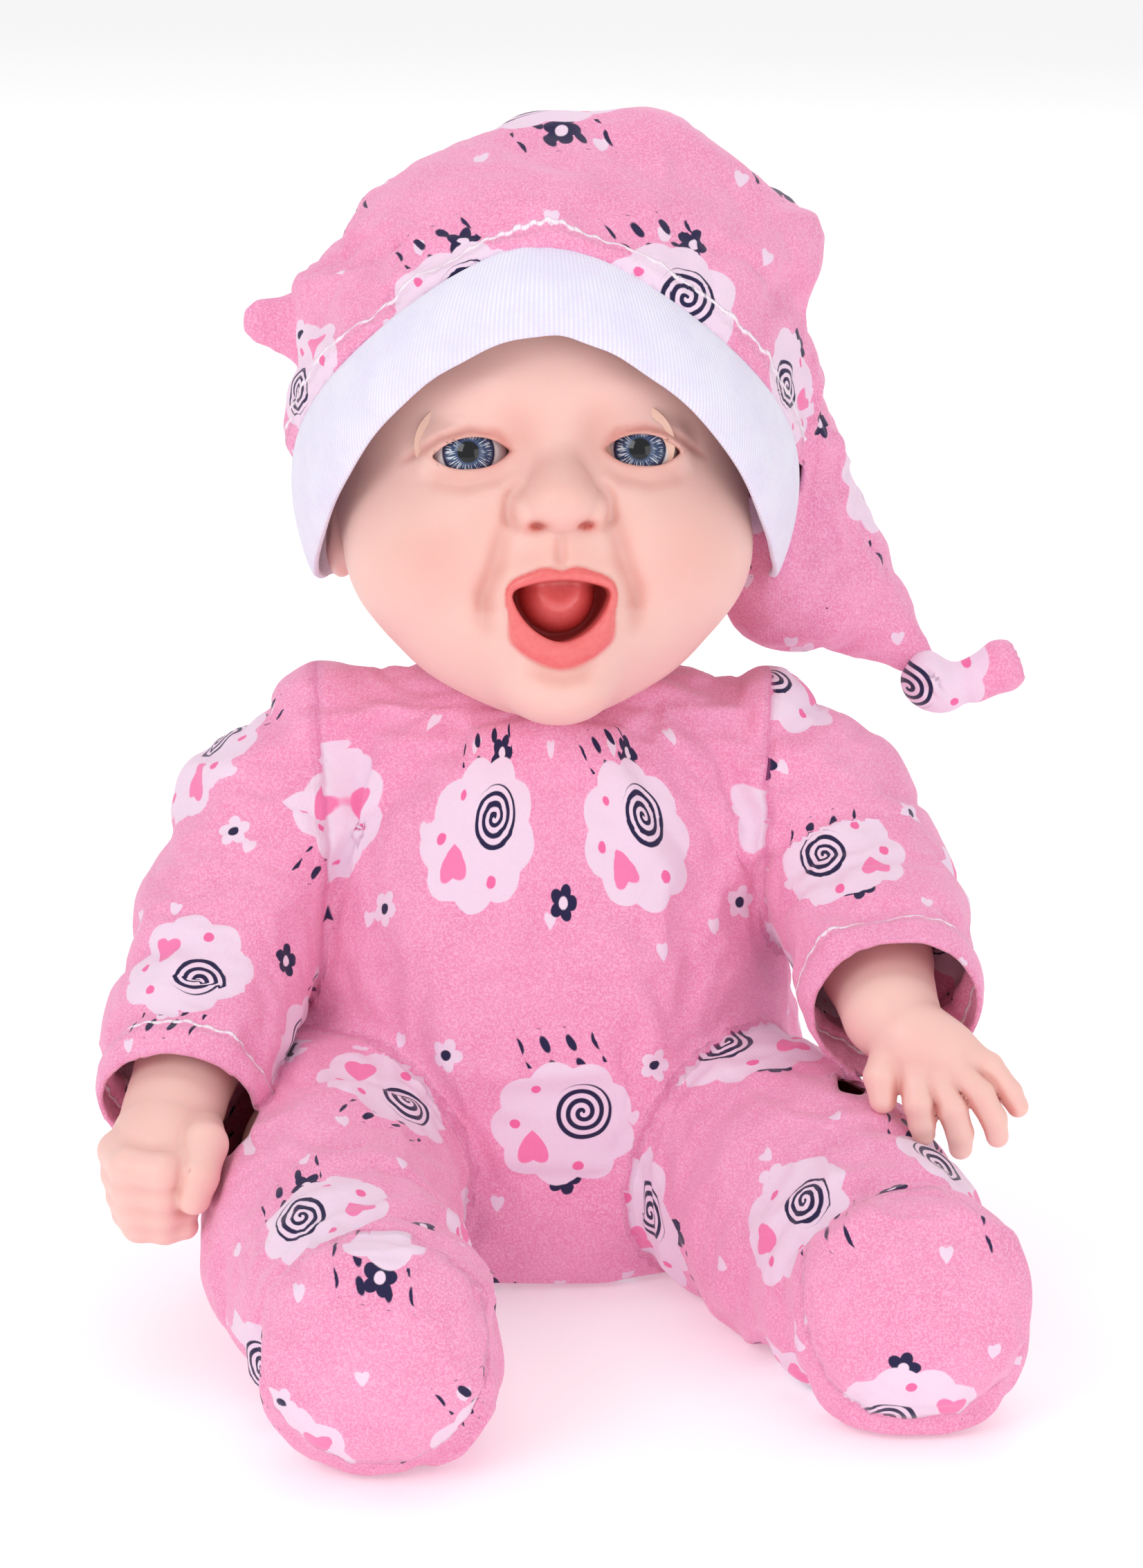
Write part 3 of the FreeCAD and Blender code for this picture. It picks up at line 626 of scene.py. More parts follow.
def head_field(p):
    """The whole head, in the row frame."""
    q = to_face(p)
    d = face_parts(q)
    hole = smax(mouth_hole(q), q[..., 1] + 27.5, 4.0)
    d = smax(d, -hole, 0.9)
    d = smin(d, tongue_of(q), 0.8)
    qa = q.copy()
    qa[..., 0] = np.abs(q[..., 0])
    ball = np.sqrt(((qa - arr(EYE_X, EYE_Y, EYE_Z)) ** 2).sum(-1))
    d = smax(d, -smax(eye_hole(q), q[..., 1] + 32, 0.3), 0.45)
    d = np.maximum(d, -np.maximum(ball - (EYE_R + 0.1), eye_hole(qa) - 0.4))
    # underside: flat with the neck's hole
    rim = np.sqrt(p[..., 0] ** 2 + (p[..., 1] - 4) ** 2)
    d = smax(d, 118.0 - p[..., 2], 1.5)
    # the back stays under the cap
    d = smax(d, np.where(p[..., 1] > 0, crown_form(p) + 5.0, -99.0), 2.0)
    d = np.maximum(d, -np.maximum(rim - 16.3, p[..., 2] - 127))
    return d


def build_head(vinyl):
    """The head, with lip colour, blush on the cheeks and nose, and painted shade in the mouth, the creases,
    round the eyes and in the nostrils.
    """
    v, f = surface(head_field, (-48, -58, 116), (50, 56, 222), 0.62)
    ob = make("head_vinyl", v, f)
    v = coords(ob)
    q = to_face(v)
    hole = mouth_hole(q)
    mouthy = (q[:, 1] < -20) & (q[:, 1] > -60)
    attr(ob, "lip", np.clip((1.02 - lip_share(q)) / 0.14, 0, 1) * mouthy)
    # painted shade in the mouth: darker coral deeper in and away from the tongue's surface
    back = np.clip((q[:, 1] + 37.5) / 6, 0, 1) * (hole < 0.3) * mouthy
    attr(ob, "mouth_shade", back * np.clip(0.25 + tongue_of(q) / 1.6, 0.25, 0.85))
    x, z = np.abs(q[:, 0]), q[:, 2]
    front = q[:, 1] < -12
    ex, ez = x - EYE_X, z - EYE_Z
    # blush on the cheeks and the nose; painted shade in the smile folds, the lids' creases and lower lids,
    # round the eye openings, at the eyes' inner corners, in the chin's groove and in and round the nostrils;
    # and a faint ring above the upper lip's outline
    blush_and_shade = bell(x, z, 25, -9, 9, 9) * 0.20 + groove(x, z, SMILE, 2.2, 0.2, 0.15)
    blush_and_shade += 0.55 * bell(x, z, 4.8, -3.9, 2.2, 1.2) + groove(ex, ez, LID_CREASE, 1.0, 0.42, 0.15)
    blush_and_shade += groove(ex, ez, LID_LOW, 2.0, 0.22) + np.exp(-(np.clip(eye_hole(q), 0, 9) / 0.8) ** 2) * 0.35
    blush_and_shade += 0.24 * bell(x, z, 7.4, 13, 4.5, 7) + 0.14 * bell(x, z, 0, 2, 9, 5)
    blush_and_shade += groove(q[:, 0], z, [(-8, -31.0), (0, -33.0), (8, -31.0)], 2.4, 0.25)
    blush_and_shade += 0.35 * np.exp(-((hole - 5.0) / 2.0) ** 2) * (z > -20) * 0.4
    nostril_shade = 0.9 * bell(x, z, 4.7, -4.0, 1.5, 0.75)
    attr(ob, "blush_and_shade", np.clip((blush_and_shade + nostril_shade) * front, 0, 0.95))
    ob.data.materials.append(vinyl)
    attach(ob, "head")
    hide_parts("head_shell")


def eye_material():
    """A white ball with a rayed blue iris and a pupil on the side that faces -Y."""
    m, p = material("eye", Roughness=0.12, Coat_Weight=0.6, Coat_Roughness=0.03, Coat_IOR=1.5, IOR=1.45,
                    Specular_IOR_Level=0.2)
    sep = node("ShaderNodeSeparateXYZ", _0=object_coords())
    x, z = N(sep.outputs[0]) * 1000, N(sep.outputs[2]) * 1000
    y = N(sep.outputs[1])
    r = hyp(x, z)
    theta = N.math("ARCTAN2", z, x)
    comb = node("ShaderNodeCombineXYZ", X=(theta.cos() * 5), Y=(theta.sin() * 5), Z=r * 0.12)
    streak = noise(3.2, 2, N(comb.outputs[0]), 0.6)
    rays = streak.gt(0.56) * r.soft(4.4, 0.5) * (1 - r.soft(2.5, 0.5))
    fine = noise(9, 3, N(comb.outputs[0]), 0.6)
    iris = mix(fine, lin(28, 42, 70), lin(66, 88, 126))
    iris = mix(r.soft(3.4, 1.8) * 0.6, iris, lin(54, 74, 112))
    iris = mix(rays * 0.85, iris, lin(226, 236, 246))
    iris = mix(1 - r.soft(4.75, 0.5), iris, lin(24, 34, 58))
    iris = mix(r.soft(2.1, 0.25), iris, lin(6, 8, 14))
    white = mix(noise(400, 2), lin(236, 238, 242), lin(222, 226, 234))
    colour = mix(r.soft(5.1, 0.35) * y.lt(0), white, iris)
    plug(p, "Base Color", colour)
    return m


def build_eyes():
    """Two balls with a slight cornea, which look at the camera."""
    mat = eye_material()
    cornea_r, cornea_rise = 5.3, 0.45
    for name, side in (("left", 1), ("right", -1)):
        centre = from_face(arr(side * EYE_X, EYE_Y, EYE_Z))
        me = bpy.data.meshes.new("eyeball_" + name)
        bm = bmesh.new()
        bmesh.ops.create_uvsphere(bm, u_segments=64, v_segments=32, radius=EYE_R * MM,
                                  matrix=Matrix.Rotation(math.radians(90), 4, "X"))
        for vert in bm.verts:
            r = math.hypot(vert.co.x, vert.co.z) / MM
            if vert.co.y < 0 and r < cornea_r:
                vert.co.y -= cornea_rise * MM * (1 - (r / cornea_r) ** 2)
        for face in bm.faces:
            face.smooth = True
        bm.to_mesh(me)
        bm.free()
        me.materials.append(mat)
        ob = bpy.data.objects.new("eyeball_" + name, me)
        bpy.context.scene.collection.objects.link(ob)
        gaze = (Matrix.Rotation(math.radians(FACE_TURN[2] - 5), 4, "Z")
                @ Matrix.Rotation(math.radians(-14), 4, "X"))
        ob.matrix_world = Matrix.Translation(Vector(centre * MM)) @ gaze
        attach(ob, "head")
        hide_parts("eye_" + name)


# ---------------------------------------------------------------- arms and hands
ARM_LEFT = [(43, 0, 96), (53, -3, 88), (60, -13, 77.5), (65.5, -34, 69.5), (67.5, -50, 65)]
ARM_RIGHT = [(-43, 0, 96), (-53.5, -4, 86), (-62.5, -14, 69), (-69.5, -36, 54), (-72.5, -52, 46)]
ARM_R = [13.5, 14, 12.5, 11, 9.5]
SHOULDER_X = 43.4


def hand_open_field(p):
    """The left arm, with its fingers spread and hanging."""
    scale = 0.82
    q = (p - arr(67.5, -52, 64.5)) / scale
    d = chain(p, ARM_LEFT, ARM_R, 2) / scale
    d = smin(d, cap(q, (-1, 2, 0.5), (4, -6, -3), 9.4, 9.6), 3)
    d = smin(d, ell(q, (9.5, -8.5, -6.5), (12.0, 8.2, 10.0), ry=32), 3)
    fingers = None
    for joints, radii in (
            ([(15, -9, -5), (22.5, -10.5, -9), (27.5, -11.5, -15), (29.5, -11.5, -18.5)], [4.1, 3.5, 3, 2.6]),
            ([(14, -12, -9), (20, -15, -14), (23.5, -16, -20), (24.5, -15.5, -24.5)], [4.2, 3.6, 3.1, 2.7]),
            ([(10, -13.5, -11), (13.5, -17, -17), (15.5, -17.5, -23), (15.8, -16.5, -27)],
             [4.2, 3.7, 3.2, 2.8]),
            ([(5, -13.5, -10), (5.5, -17.5, -15.5), (6.5, -17.5, -20.5), (7, -16.5, -23.5)],
             [4.1, 3.6, 3.2, 2.8])):
        finger = chain(q, joints, radii, 0.8)
        fingers = finger if fingers is None else smin(fingers, finger, 0.5)
    d = smin(d, fingers, 2.0)
    d = smin(d, chain(q, [(0, -8, -5), (-3.0, -13, -10.5), (-2.6, -15, -15.5)], [5.0, 4.2, 3.3], 0.8), 1.6)
    for a, b in (((18, -12, -6), (20.5, -13.5, -10.5)),              # creases between the knuckles
                 ((12.5, -15, -10), (16.8, -17.5, -15.5)),
                 ((7.5, -16, -11.5), (9.5, -18.8, -17))):
        d = smax(d, -cap(q, a, b, 0.3), 1.0)
    return d * scale


def hand_fist_field(p):
    """The right arm, with its fingers closed."""
    scale = 0.94
    q = (p - arr(-72.8, -53, 44.5)) * arr(-1, 1, 1) / scale
    d = chain(p, ARM_RIGHT, ARM_R, 2) / scale
    d = smin(d, cap(q, (0, 2, 0.5), (1.5, -6, -3), 9.4, 10.5), 3)
    d = smin(d, ell(q, (2.0, -11.5, -6.5), (11.8, 10.2, 10.8)), 3)
    for i, (z, r) in enumerate(((-3.5, 4.3), (-8.6, 4.3), (-13.2, 4.0), (-17.0, 3.5))):
        joints = [(10.5 - i * 0.6, -12, z), (7.5 - i * 0.5, -20.5 + i * 0.8, z - 0.5),
                  (0.5, -22.6 + i * 1.2, z - 0.8), (-3.5, -18.5, z - 0.5)]
        d = smin(d, chain(q, joints, [r, r * 0.98, r * 0.92, r * 0.8], 1.0), 1.1)
    joints = [(-5.5, -6, -1.5), (-7.5, -15.0, -1.0), (-6.6, -21.5, -5.5), (-5.8, -22.8, -9.6)]
    thumb = chain(q, joints, [5.6, 4.9, 4.3, 3.6], 1.0)
    d = smin(d, thumb, 1.1)
    d = smax(d, -cap(q, (-9.6, -20.5, -3.2), (-5.0, -24.6, -3.2), 0.2), 0.9)
    return d * scale


def build_arm(name, field, box, vinyl):
    """One arm from the shoulder's plane outwards, with painted shade, darker and redder, in its creases."""
    side = 1 if name == "left" else -1

    def cut(p):
        return smax(field(p), SHOULDER_X - side * p[..., 0], 0.6)
    v, f = surface(cut, *box, 0.6)
    ob = make("arm_vinyl_" + name, v, f)
    v = coords(ob)
    n = gradient(cut, v, 0.8)
    lap = cut(v + n * 2.2) - 2.2                   # negative in creases
    # painted shade in the creases, stored with the blush
    attr(ob, "blush_and_shade", np.clip(-lap * 0.35, 0, 0.5))
    attr(ob, "lip", np.zeros(len(v)))
    attr(ob, "mouth_shade", np.zeros(len(v)))
    ob.data.materials.append(vinyl)
    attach(ob, "arm_" + name)
    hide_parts("arm_" + name)


# ---------------------------------------------------------------- clothes
BODICE = np.array([                 # z, half width, half depth, middle's y
    (-4, 30, 29, 0), (3, 42, 35, 0), (14, 48, 38.5, -0.5), (32, 50, 40.5, -1), (50, 51, 41, -1.5),
    (70, 49.8, 38, -0.5), (85, 47.2, 33.5, 1), (98, 45.5, 29, 2), (108, 44, 25.5, 3), (114, 41, 22.5, 4),
    (119, 33, 19.5, 4), (124, 22, 17, 4)])
# each limb's middle line and its radii, with the doll's left one first
SLEEVES = {1: ([(43, 2, 104), (52.5, -1, 94), (60, -12, 81.5), (66, -32, 71.5), (68.5, -49, 65.2)],
               [15, 18, 17, 16.8, 16.9]),
           -1: ([(-43, 2, 104.5), (-53.5, -1, 91), (-62, -13, 72), (-69, -34, 55), (-72, -50, 45.5)],
                [15, 18.8, 18.4, 17, 15.8])}
LEGS = {1: ([(25, -4, 27), (42, -29, 26), (54, -54, 25), (63.5, -77, 23.4), (68.5, -90, 22.6)],
            [25, 26.5, 25.5, 22.5, 21]),
        -1: ([(-27, -4, 28), (-41, -33, 26.5), (-41.5, -64, 25), (-35, -94, 23.2), (-29.5, -111, 22.6)],
             [25, 25.5, 24, 22, 21])}
CUFFS = {1: (arr(68.3, -49.5, 65), arr(0.09, -0.95, -0.30)),        # each cuff's middle and the way it faces
         -1: (arr(-72.1, -50.5, 45.2), arr(-0.1, -0.87, -0.48))}
NECK_Y, NECK_R = 4, 18.2            # the suit's round neckline
SUIT_BOX = ((-100, -146, -3), (100, 50, 128))


def torso_form(p):
    """The bodice: ellipses whose size follows the height."""
    z = np.clip(p[..., 2], BODICE[0, 0], BODICE[-1, 0])
    a, b, m = (np.interp(z, BODICE[:, 0], BODICE[:, i]) for i in (1, 2, 3))
    k = np.sqrt((p[..., 0] / a) ** 2 + ((p[..., 1] - m) / b) ** 2)
    d = (k - 1) * (0.75 * b + 0.25 * a) * 0.92
    d = smax(d, p[..., 2] - 119.5, 6)
    return d


def arm_form(p, side):
    d = chain(p, *SLEEVES[side], 3)
    return smin(d, ell(p, (side * 45.5, 1, 113), (6, 10, 8.5)), 5)


def foot_form(p, side):
    x, y, _ = LEGS[side][0][-1]
    heel = ell(p, (x + side * 0.5, y - 8, 21.5), (21.2, 17, 22.3))
    toe = ell(p, (x + side * 1.5, y - 16, 27), (20.5, 9.5, 19.5), rx=-12)
    return smin(heel, toe, 5)


def leg_form(p, side):
    d = chain(p, *LEGS[side], 3)
    return smin(d, foot_form(p, side), 5)


def suit_field(p):
    """The whole suit, flat where it rests on the floor."""
    t = torso_form(p)
    legs = np.minimum(leg_form(p, 1), leg_form(p, -1))
    arms = np.minimum(arm_form(p, 1), arm_form(p, -1))
    d = np.minimum(smin(t, legs, 6), smin(t, arms, 3.5))
    return smax(d, 0.6 - p[..., 2], 1.2)


def build_leg(name, box, vinyl):
    """The vinyl leg inside the trousers, kept clear of the cloth."""
    side = 1 if name == "left" else -1
    clear, hip_x = 5.6, 17
    v, f = surface(lambda p: smax(leg_form(p, side) + clear, hip_x - side * p[..., 0], 1), *box, 1.8)
    ob = make("leg_vinyl_" + name, v, f)
    for tint in VINYL_TINTS:
        attr(ob, tint, np.zeros(len(v)))
    ob.data.materials.append(vinyl)
    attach(ob, "leg_" + name)
    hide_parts("leg_" + name)


def finish_cloth(ob, smooth):
    """Smooths the cloth, refines it and gives it a millimetre's thickness inwards."""
    modifier(ob, "SMOOTH", iterations=1, factor=smooth)
    modifier(ob, "SUBSURF", levels=1, render_levels=1)
    modifier(ob, "SOLIDIFY", thickness=1.0 * MM, offset=-1.0, use_rim=True)
    bake(ob)


def quads_of(ob):
    n = np.empty(len(ob.data.loops), dtype=np.int32)
    ob.data.loops.foreach_get("vertex_index", n)
    return n.reshape(-1, 4)


def drape(ob, collider, pins, frames, shrink):
    """Lets the cloth find its folds over collider, which it uses up, then freezes it. It grows as shrink is
    negative, and no point ends further than a set distance from where it began."""
    stiff, bend, most = 8.0, 0.12, 9.0
    scene = bpy.context.scene
    rest = coords(ob)
    group = ob.vertex_groups.new(name="pins")
    for w in np.unique(np.round(pins, 1)):
        if w > 0:
            group.add([int(i) for i in np.where(np.round(pins, 1) == w)[0]], float(w), "REPLACE")
    cl = ob.modifiers.new("drape", "CLOTH")
    s = cl.settings
    s.quality = 7
    s.mass = 0.0006
    s.tension_stiffness = s.compression_stiffness = stiff
    s.shear_stiffness = stiff * 0.6
    s.bending_stiffness = bend
    s.tension_damping = s.compression_damping = s.shear_damping = 8
    s.bending_damping = 0.6
    s.air_damping = 3
    s.shrink_min = shrink
    s.vertex_group_mass = "pins"
    s.pin_stiffness = 3
    cl.collision_settings.distance_min = 0.001
    cl.collision_settings.collision_quality = 3
    cl.collision_settings.use_self_collision = False
    collider.modifiers.new("solid", "COLLISION")
    collider.collision.thickness_outer = 0.0012
    collider.collision.cloth_friction = 6
    cl.point_cache.frame_start = 1
    cl.point_cache.frame_end = frames
    for f in range(1, frames + 1):
        scene.frame_set(f)
    dg = bpy.context.evaluated_depsgraph_get()
    ev = ob.evaluated_get(dg)
    out = np.empty(len(ev.data.vertices) * 3, dtype=np.float32)
    ev.data.vertices.foreach_get("co", out)
    out = out.reshape(-1, 3).astype(np.float64) / MM
    ob.modifiers.clear()
    scene.frame_set(1)
    move = out - rest
    far = np.linalg.norm(move, axis=1, keepdims=True)
    move *= np.minimum(1, most / np.maximum(far, 1e-6))
    set_coords(ob, rest + move)
    bpy.data.objects.remove(collider)


def border_verts(quads, n):
    """The vertices on open edges, of n in all."""
    e = np.concatenate([quads[:, [0, 1]], quads[:, [1, 2]], quads[:, [2, 3]], quads[:, [3, 0]]])
    e.sort(axis=1)
    key = e[:, 0] * n + e[:, 1]
    _, inv, cnt = np.unique(key, return_inverse=True, return_counts=True)
    return np.unique(e[cnt[inv] == 1])


def snap(field, verts, ids, s, rounds=3):
    """Moves these vertices along the surface to where s is zero."""
    for _ in range(rounds):
        p = verts[ids]
        v = s(p)
        h = 0.2
        g = np.stack([s(p + np.eye(3)[i] * h) - s(p - np.eye(3)[i] * h) for i in range(3)], -1) / (2 * h)
        n = gradient(field, p, 0.2)
        g -= n * (g * n).sum(1, keepdims=True)
        step = v / np.maximum((g * g).sum(1), 0.05)
        step = np.clip(step, -1.6, 1.6)
        verts[ids] = p - g * step[:, None]
        verts[ids] = pull(field, verts[ids], 1.0)


def path_uv(p, pts, up, radius):
    """Along and around a limb, in millimetres: u around from its top, v along."""
    pts = np.array(pts, float)
    seg = np.diff(pts, axis=0)
    length = np.linalg.norm(seg, axis=1)
    start = np.concatenate([[0], np.cumsum(length)])
    best = np.full(len(p), 1e9)
    u = np.zeros(len(p))
    v = np.zeros(len(p))
    for i in range(len(seg)):
        d = seg[i] / length[i]
        t = (p - pts[i]) @ d
        lo = -1e9 if i == 0 else 0
        hi = 1e9 if i == len(seg) - 1 else length[i]
        tc = np.clip(t, lo, hi)
        off = p - pts[i] - tc[:, None] * d
        dist = np.linalg.norm(off, axis=1)
        side = np.cross(d, up)
        side /= np.linalg.norm(side)
        top = np.cross(side, d)
        ang = np.arctan2(off @ side, off @ top)
        m = dist < best
        best[m] = dist[m]
        u[m] = ang[m] * radius
        v[m] = (start[i] + tc)[m]
    return u, v


def set_uv(ob, u, v, period, shift):
    """UVs in millimetres per face corner, opened at the seam."""
    q = quads_of(ob)
    uu, vv = u[q], v[q]
    if period:
        low = uu.min(1, keepdims=True)
        uu = np.where(uu - low > period / 2, uu - period, uu)
    uv = np.stack([uu + shift[0], vv + shift[1]], -1).reshape(-1, 2)
    layer = ob.data.uv_layers.new(name="print")
    layer.data.foreach_set("uv", uv.astype(np.float32).ravel())


def toe_seam(p, side):
    """Signed distance from the seam that joins a foot's front to its top and heel."""
    y = LEGS[side][0][-1][1]
    return (p[..., 1] - (y - 13.5)) * 0.94 - (p[..., 2] - 22) * 0.34


def flat_uv(ob, r, where, scale, shift):
    """Lays the print flat from the front, over the faces where this is negative."""
    q = quads_of(ob)
    layer = ob.data.uv_layers["print"]
    uv = np.empty(len(q) * 8, dtype=np.float32)
    layer.data.foreach_get("uv", uv)
    uv = uv.reshape(-1, 4, 2)
    flat = where[q].mean(1) < 0
    for i, axis in enumerate((0, 2)):
        uv[flat, :, i] = r[:, axis][q][flat] * scale[i] + shift[i]
    layer.data.foreach_set("uv", uv.ravel())


def jersey_on(ob, jersey, hem=None, hemu=None, seam=None):
    """Gives a piece the jersey, its distances from a hem and a seam, and the way along the hem."""
    n = len(ob.data.vertices)
    attr(ob, "hem", np.full(n, NO_HEM) if hem is None else hem)
    attr(ob, "hemu", np.zeros(n) if hemu is None else hemu)
    attr(ob, "seam", np.full(n, NO_HEM) if seam is None else seam)
    ob.data.materials.append(jersey)


def split(ob, labels, names):
    """Separate objects per face label, keeping the whole mesh's normals."""
    v = coords(ob)
    q = quads_of(ob)
    normals = np.empty(len(v) * 3, dtype=np.float32)
    ob.data.vertices.foreach_get("normal", normals)
    normals = normals.reshape(-1, 3)
    store = {axis: attr_of(ob, axis) for axis in REST_AXES}
    out = []
    for i, name in enumerate(names):
        verts, quads, used = compact(v, q[labels == i])
        piece = make(name, verts, quads)
        for k, x in store.items():
            attr(piece, k, x[used])
        piece.data.normals_split_custom_set_from_vertices([tuple(n) for n in normals[used]])
        out.append(piece)
    bpy.data.objects.remove(ob)
    return out


# ---- the print: pale scalloped clouds with a curl and a heart, small flowers and hearts, on pink
NAVY = lin(40, 36, 72)
PINK = lin(238, 150, 190)
PINK_DEEP = lin(232, 138, 180)
PALE = lin(238, 212, 232)
ROSE = lin(240, 110, 166)


def scatter(u, v, du, dv, shift_u, shift_v):
    """Local coordinates and random numbers of brick-laid cells."""
    row = ((v + shift_v) / dv).floor()
    uu = (u + shift_u) / du + (row * 0.5).fract()
    col = uu.floor()
    x = (uu.fract() - 0.5) * du
    y = (((v + shift_v) / dv).fract() - 0.5) * dv
    comb = node("ShaderNodeCombineXYZ", X=col, Y=row)
    n = N.tree.nodes.new("ShaderNodeTexWhiteNoise")
    n.noise_dimensions = "2D"
    N.tree.links.new(comb.outputs[0], n.inputs["Vector"])
    sep = node("ShaderNodeSeparateColor", _0=N(n.outputs["Color"]))
    return x, y, [N(sep.outputs[i]) for i in range(3)]


def rotated(x, y, angle):
    c, s = angle.cos(), angle.sin()
    return x * c + y * s, y * c - x * s


def flower_shape(x, y, size):
    r = hyp(x, y)
    t = N.math("ARCTAN2", y, x)
    return r / size - (t * 2.5).cos().abs() * 0.42, r / size


def print_colours():
    """The jersey's colour from its UVs in millimetres."""
    uv = node("ShaderNodeUVMap")
    uv.uv_map = "print"
    sep = node("ShaderNodeSeparateXYZ", _0=N(uv.outputs[0]))
    u, v = N(sep.outputs[0]), N(sep.outputs[1])
    speck = noise(2600, 2)
    mottle = noise(90, 3)
    base = mix(mottle.soft(0.5, 0.5), PINK, PINK_DEEP)
    base = mix((speck - 0.42).max(0).min(0.2) * 2.4, base, lin(255, 200, 226))

    # hearts and small flowers
    hx, hy, hr = scatter(u, v, 20.25, 17.3, 3.0, 9.0)
    hx, hy = hx - (hr[0] - 0.5) * 9, hy - (hr[1] - 0.5) * 7
    heart = hyp(hx, hy - hx.abs() * 0.75).soft(1.35, 0.3) * hr[2].gt(0.35)
    base = mix(heart, base, PALE)

    fx, fy, fr = scatter(u, v, 40.5, 26.0, 20.0, 0.0)
    fx, fy = fx - (fr[0] - 0.5) * 6, fy - (fr[1] - 0.5) * 4
    dark = fr[2].gt(0.5)
    petal, r = flower_shape(fx, fy, 2.9)
    petal = petal.soft(0.72, 0.10)
    heartc = r.soft(0.36, 0.1)
    base = mix(petal * dark, base, NAVY)
    base = mix(petal * (1 - dark), base, PALE)
    base = mix(heartc * dark, base, PALE)
    base = mix(heartc * (1 - dark), base, NAVY)

    # clouds
    x, y, rnd = scatter(u, v, 40.5, 52.0, 20.25, 26.0)
    tilt = (rnd[0] - 0.5) * 0.55 + rnd[1].gt(0.55) * math.pi
    x, y = rotated(x, y, tilt)
    r = hyp(x, y * 1.06)
    t = N.math("ARCTAN2", y, x)
    puff = r - (t * 4.5).cos().abs() * 1.7
    cloud = puff.soft(12.4, 0.35)
    # drops fall from it in two rows
    slant = x + y * 0.35 + 5.4
    drop_x, drop_y = ((slant / 5.0).fract() - 0.5) * 5.0, ((y + 1.0) / 4.4).fract() - 0.5
    drop = hyp(drop_x, drop_y * 2.4).soft(0.85, 0.25)
    drop = drop * (y + 15.8).abs().soft(3.6, 0.2) * slant.abs().soft(7.4, 0.2)
    base = mix(drop, base, NAVY)
    base = mix(cloud, base, PALE)
    middle = hyp(x - 6.2, y - 3.6 - (x - 6.2).abs() * 0.72).soft(2.9, 0.3)
    base = mix(middle, base, lin(243, 128, 178))

    gx, gy = x + 3.4, y + 2.2          # the curl
    reach = hyp(gx, gy)
    turns = ((reach / 1.8 - N.math("ARCTAN2", gy, gx) / (2 * math.pi)).fract() - 0.5).abs()
    base = mix(turns.soft(0.25, 0.12) * reach.soft(5.6, 0.3), base, NAVY)
    dots = hyp(x - 9.4, y + 0.6).soft(1.0, 0.25).max(hyp(x + 2.2, y - 8.4).soft(1.1, 0.25))
    dots = dots.max(hyp(x - 5.0, y + 7.4).soft(0.9, 0.25))
    base = mix(dots * cloud, base, ROSE)
    return base, u, v


def jersey_material():
    """Printed knit, with a thread beside each hem and a dent along each seam, darkened there with painted
    shade.
    """
    m, p = material("print_jersey", Roughness=0.88, Sheen_Weight=0.35, Sheen_Roughness=0.45,
                    Sheen_Tint=(1.0, 0.86, 0.92), Specular_IOR_Level=0.18, Subsurface_Weight=0.08,
                    Subsurface_Scale=0.0015)
    base, u, v = print_colours()
    hem, hemu, seam = (read(n) for n in ("hem", "hemu", "seam"))
    # stitch line beside a hem: a white thread that wanders a little
    wave = (hemu * (2 * math.pi / 4.6)).sin() * 0.2
    line = (hem - 6.8 - wave).abs().soft(0.34, 0.3)
    gap = ((hemu / 2.3).fract() - 0.5).abs().soft(0.40, 0.1)
    base = mix(line * (0.55 + gap * 0.45), base, lin(246, 232, 242))
    # painted shade along each seam's dent
    base = mix(seam.soft(0.35, 0.5) * 0.35, base, lin(190, 84, 136))
    plug(p, "Base Color", base)
    wale = ((u / 0.62).fract() - 0.5).abs() * 0.6 + ((v / 0.5).fract() - 0.5).abs() * 0.4
    fuzz = noise(2400, 3)
    n = bump(wale + fuzz * 0.9, 0.35, 0.00025)
    dip = (hem - 6.8).abs().soft(1.2, 1.6)
    join = seam.soft(0.7, 1.0)
    n = bump(1 - dip * 0.8 + line * 0.5 - join, 0.6, 0.0008, n)
    plug(p, "Normal", n)
    plug(p, "Roughness", 0.84 + fuzz * 0.12)
    return m


def open_suit(v, q):
    """Cuts the neck and the cuffs open. Gives the mesh, and the vertices round the neck and the cuffs."""
    keep = ~((np.hypot(v[:, 0], v[:, 1] - NECK_Y) < NECK_R) & (v[:, 2] > 108))
    for side, (at, d) in CUFFS.items():
        near = np.linalg.norm(v - at, axis=1) < 34
        own = arm_form(v, side) < np.minimum(leg_form(v, side), torso_form(v)) - 0.3
        keep &= ~(near & own & ((v - at) @ d > 0))
    v, q, _ = compact(v, q[keep[q].all(1)])
    edge = border_verts(q, len(v))
    for at, d in CUFFS.values():       # true the cuffs' edges
        ids = edge[(np.linalg.norm(v[edge] - at, axis=1) < 32) & (np.abs((v[edge] - at) @ d) < 4)]
        for _ in range(3):
            v[ids] -= ((v[ids] - at) @ d)[:, None] * d
            v[ids] = pull(suit_field, v[ids], 1.0)
        v[ids] -= ((v[ids] - at) @ d)[:, None] * d
    cuffs = [edge[np.linalg.norm(v[edge] - at, axis=1) < 32] for at, _ in CUFFS.values()]
    neck = edge[v[edge][:, 2] > 100]
    r = np.hypot(v[neck][:, 0], v[neck][:, 1] - NECK_Y)[:, None]
    v[neck, :2] = arr(0, NECK_Y) + (v[neck][:, :2] - arr(0, NECK_Y)) / r * NECK_R
    return v, q, neck, cuffs


def sleeve_share(p, side):
    """Negative where the suit belongs to this sleeve, and zero along its seam."""
    arm = arm_form(p, side)
    d = np.maximum(arm - torso_form(p) - 1.0, arm - leg_form(p, side))
    return smax(d, SHOULDER_X + 1.1 - side * p[..., 0], 1)


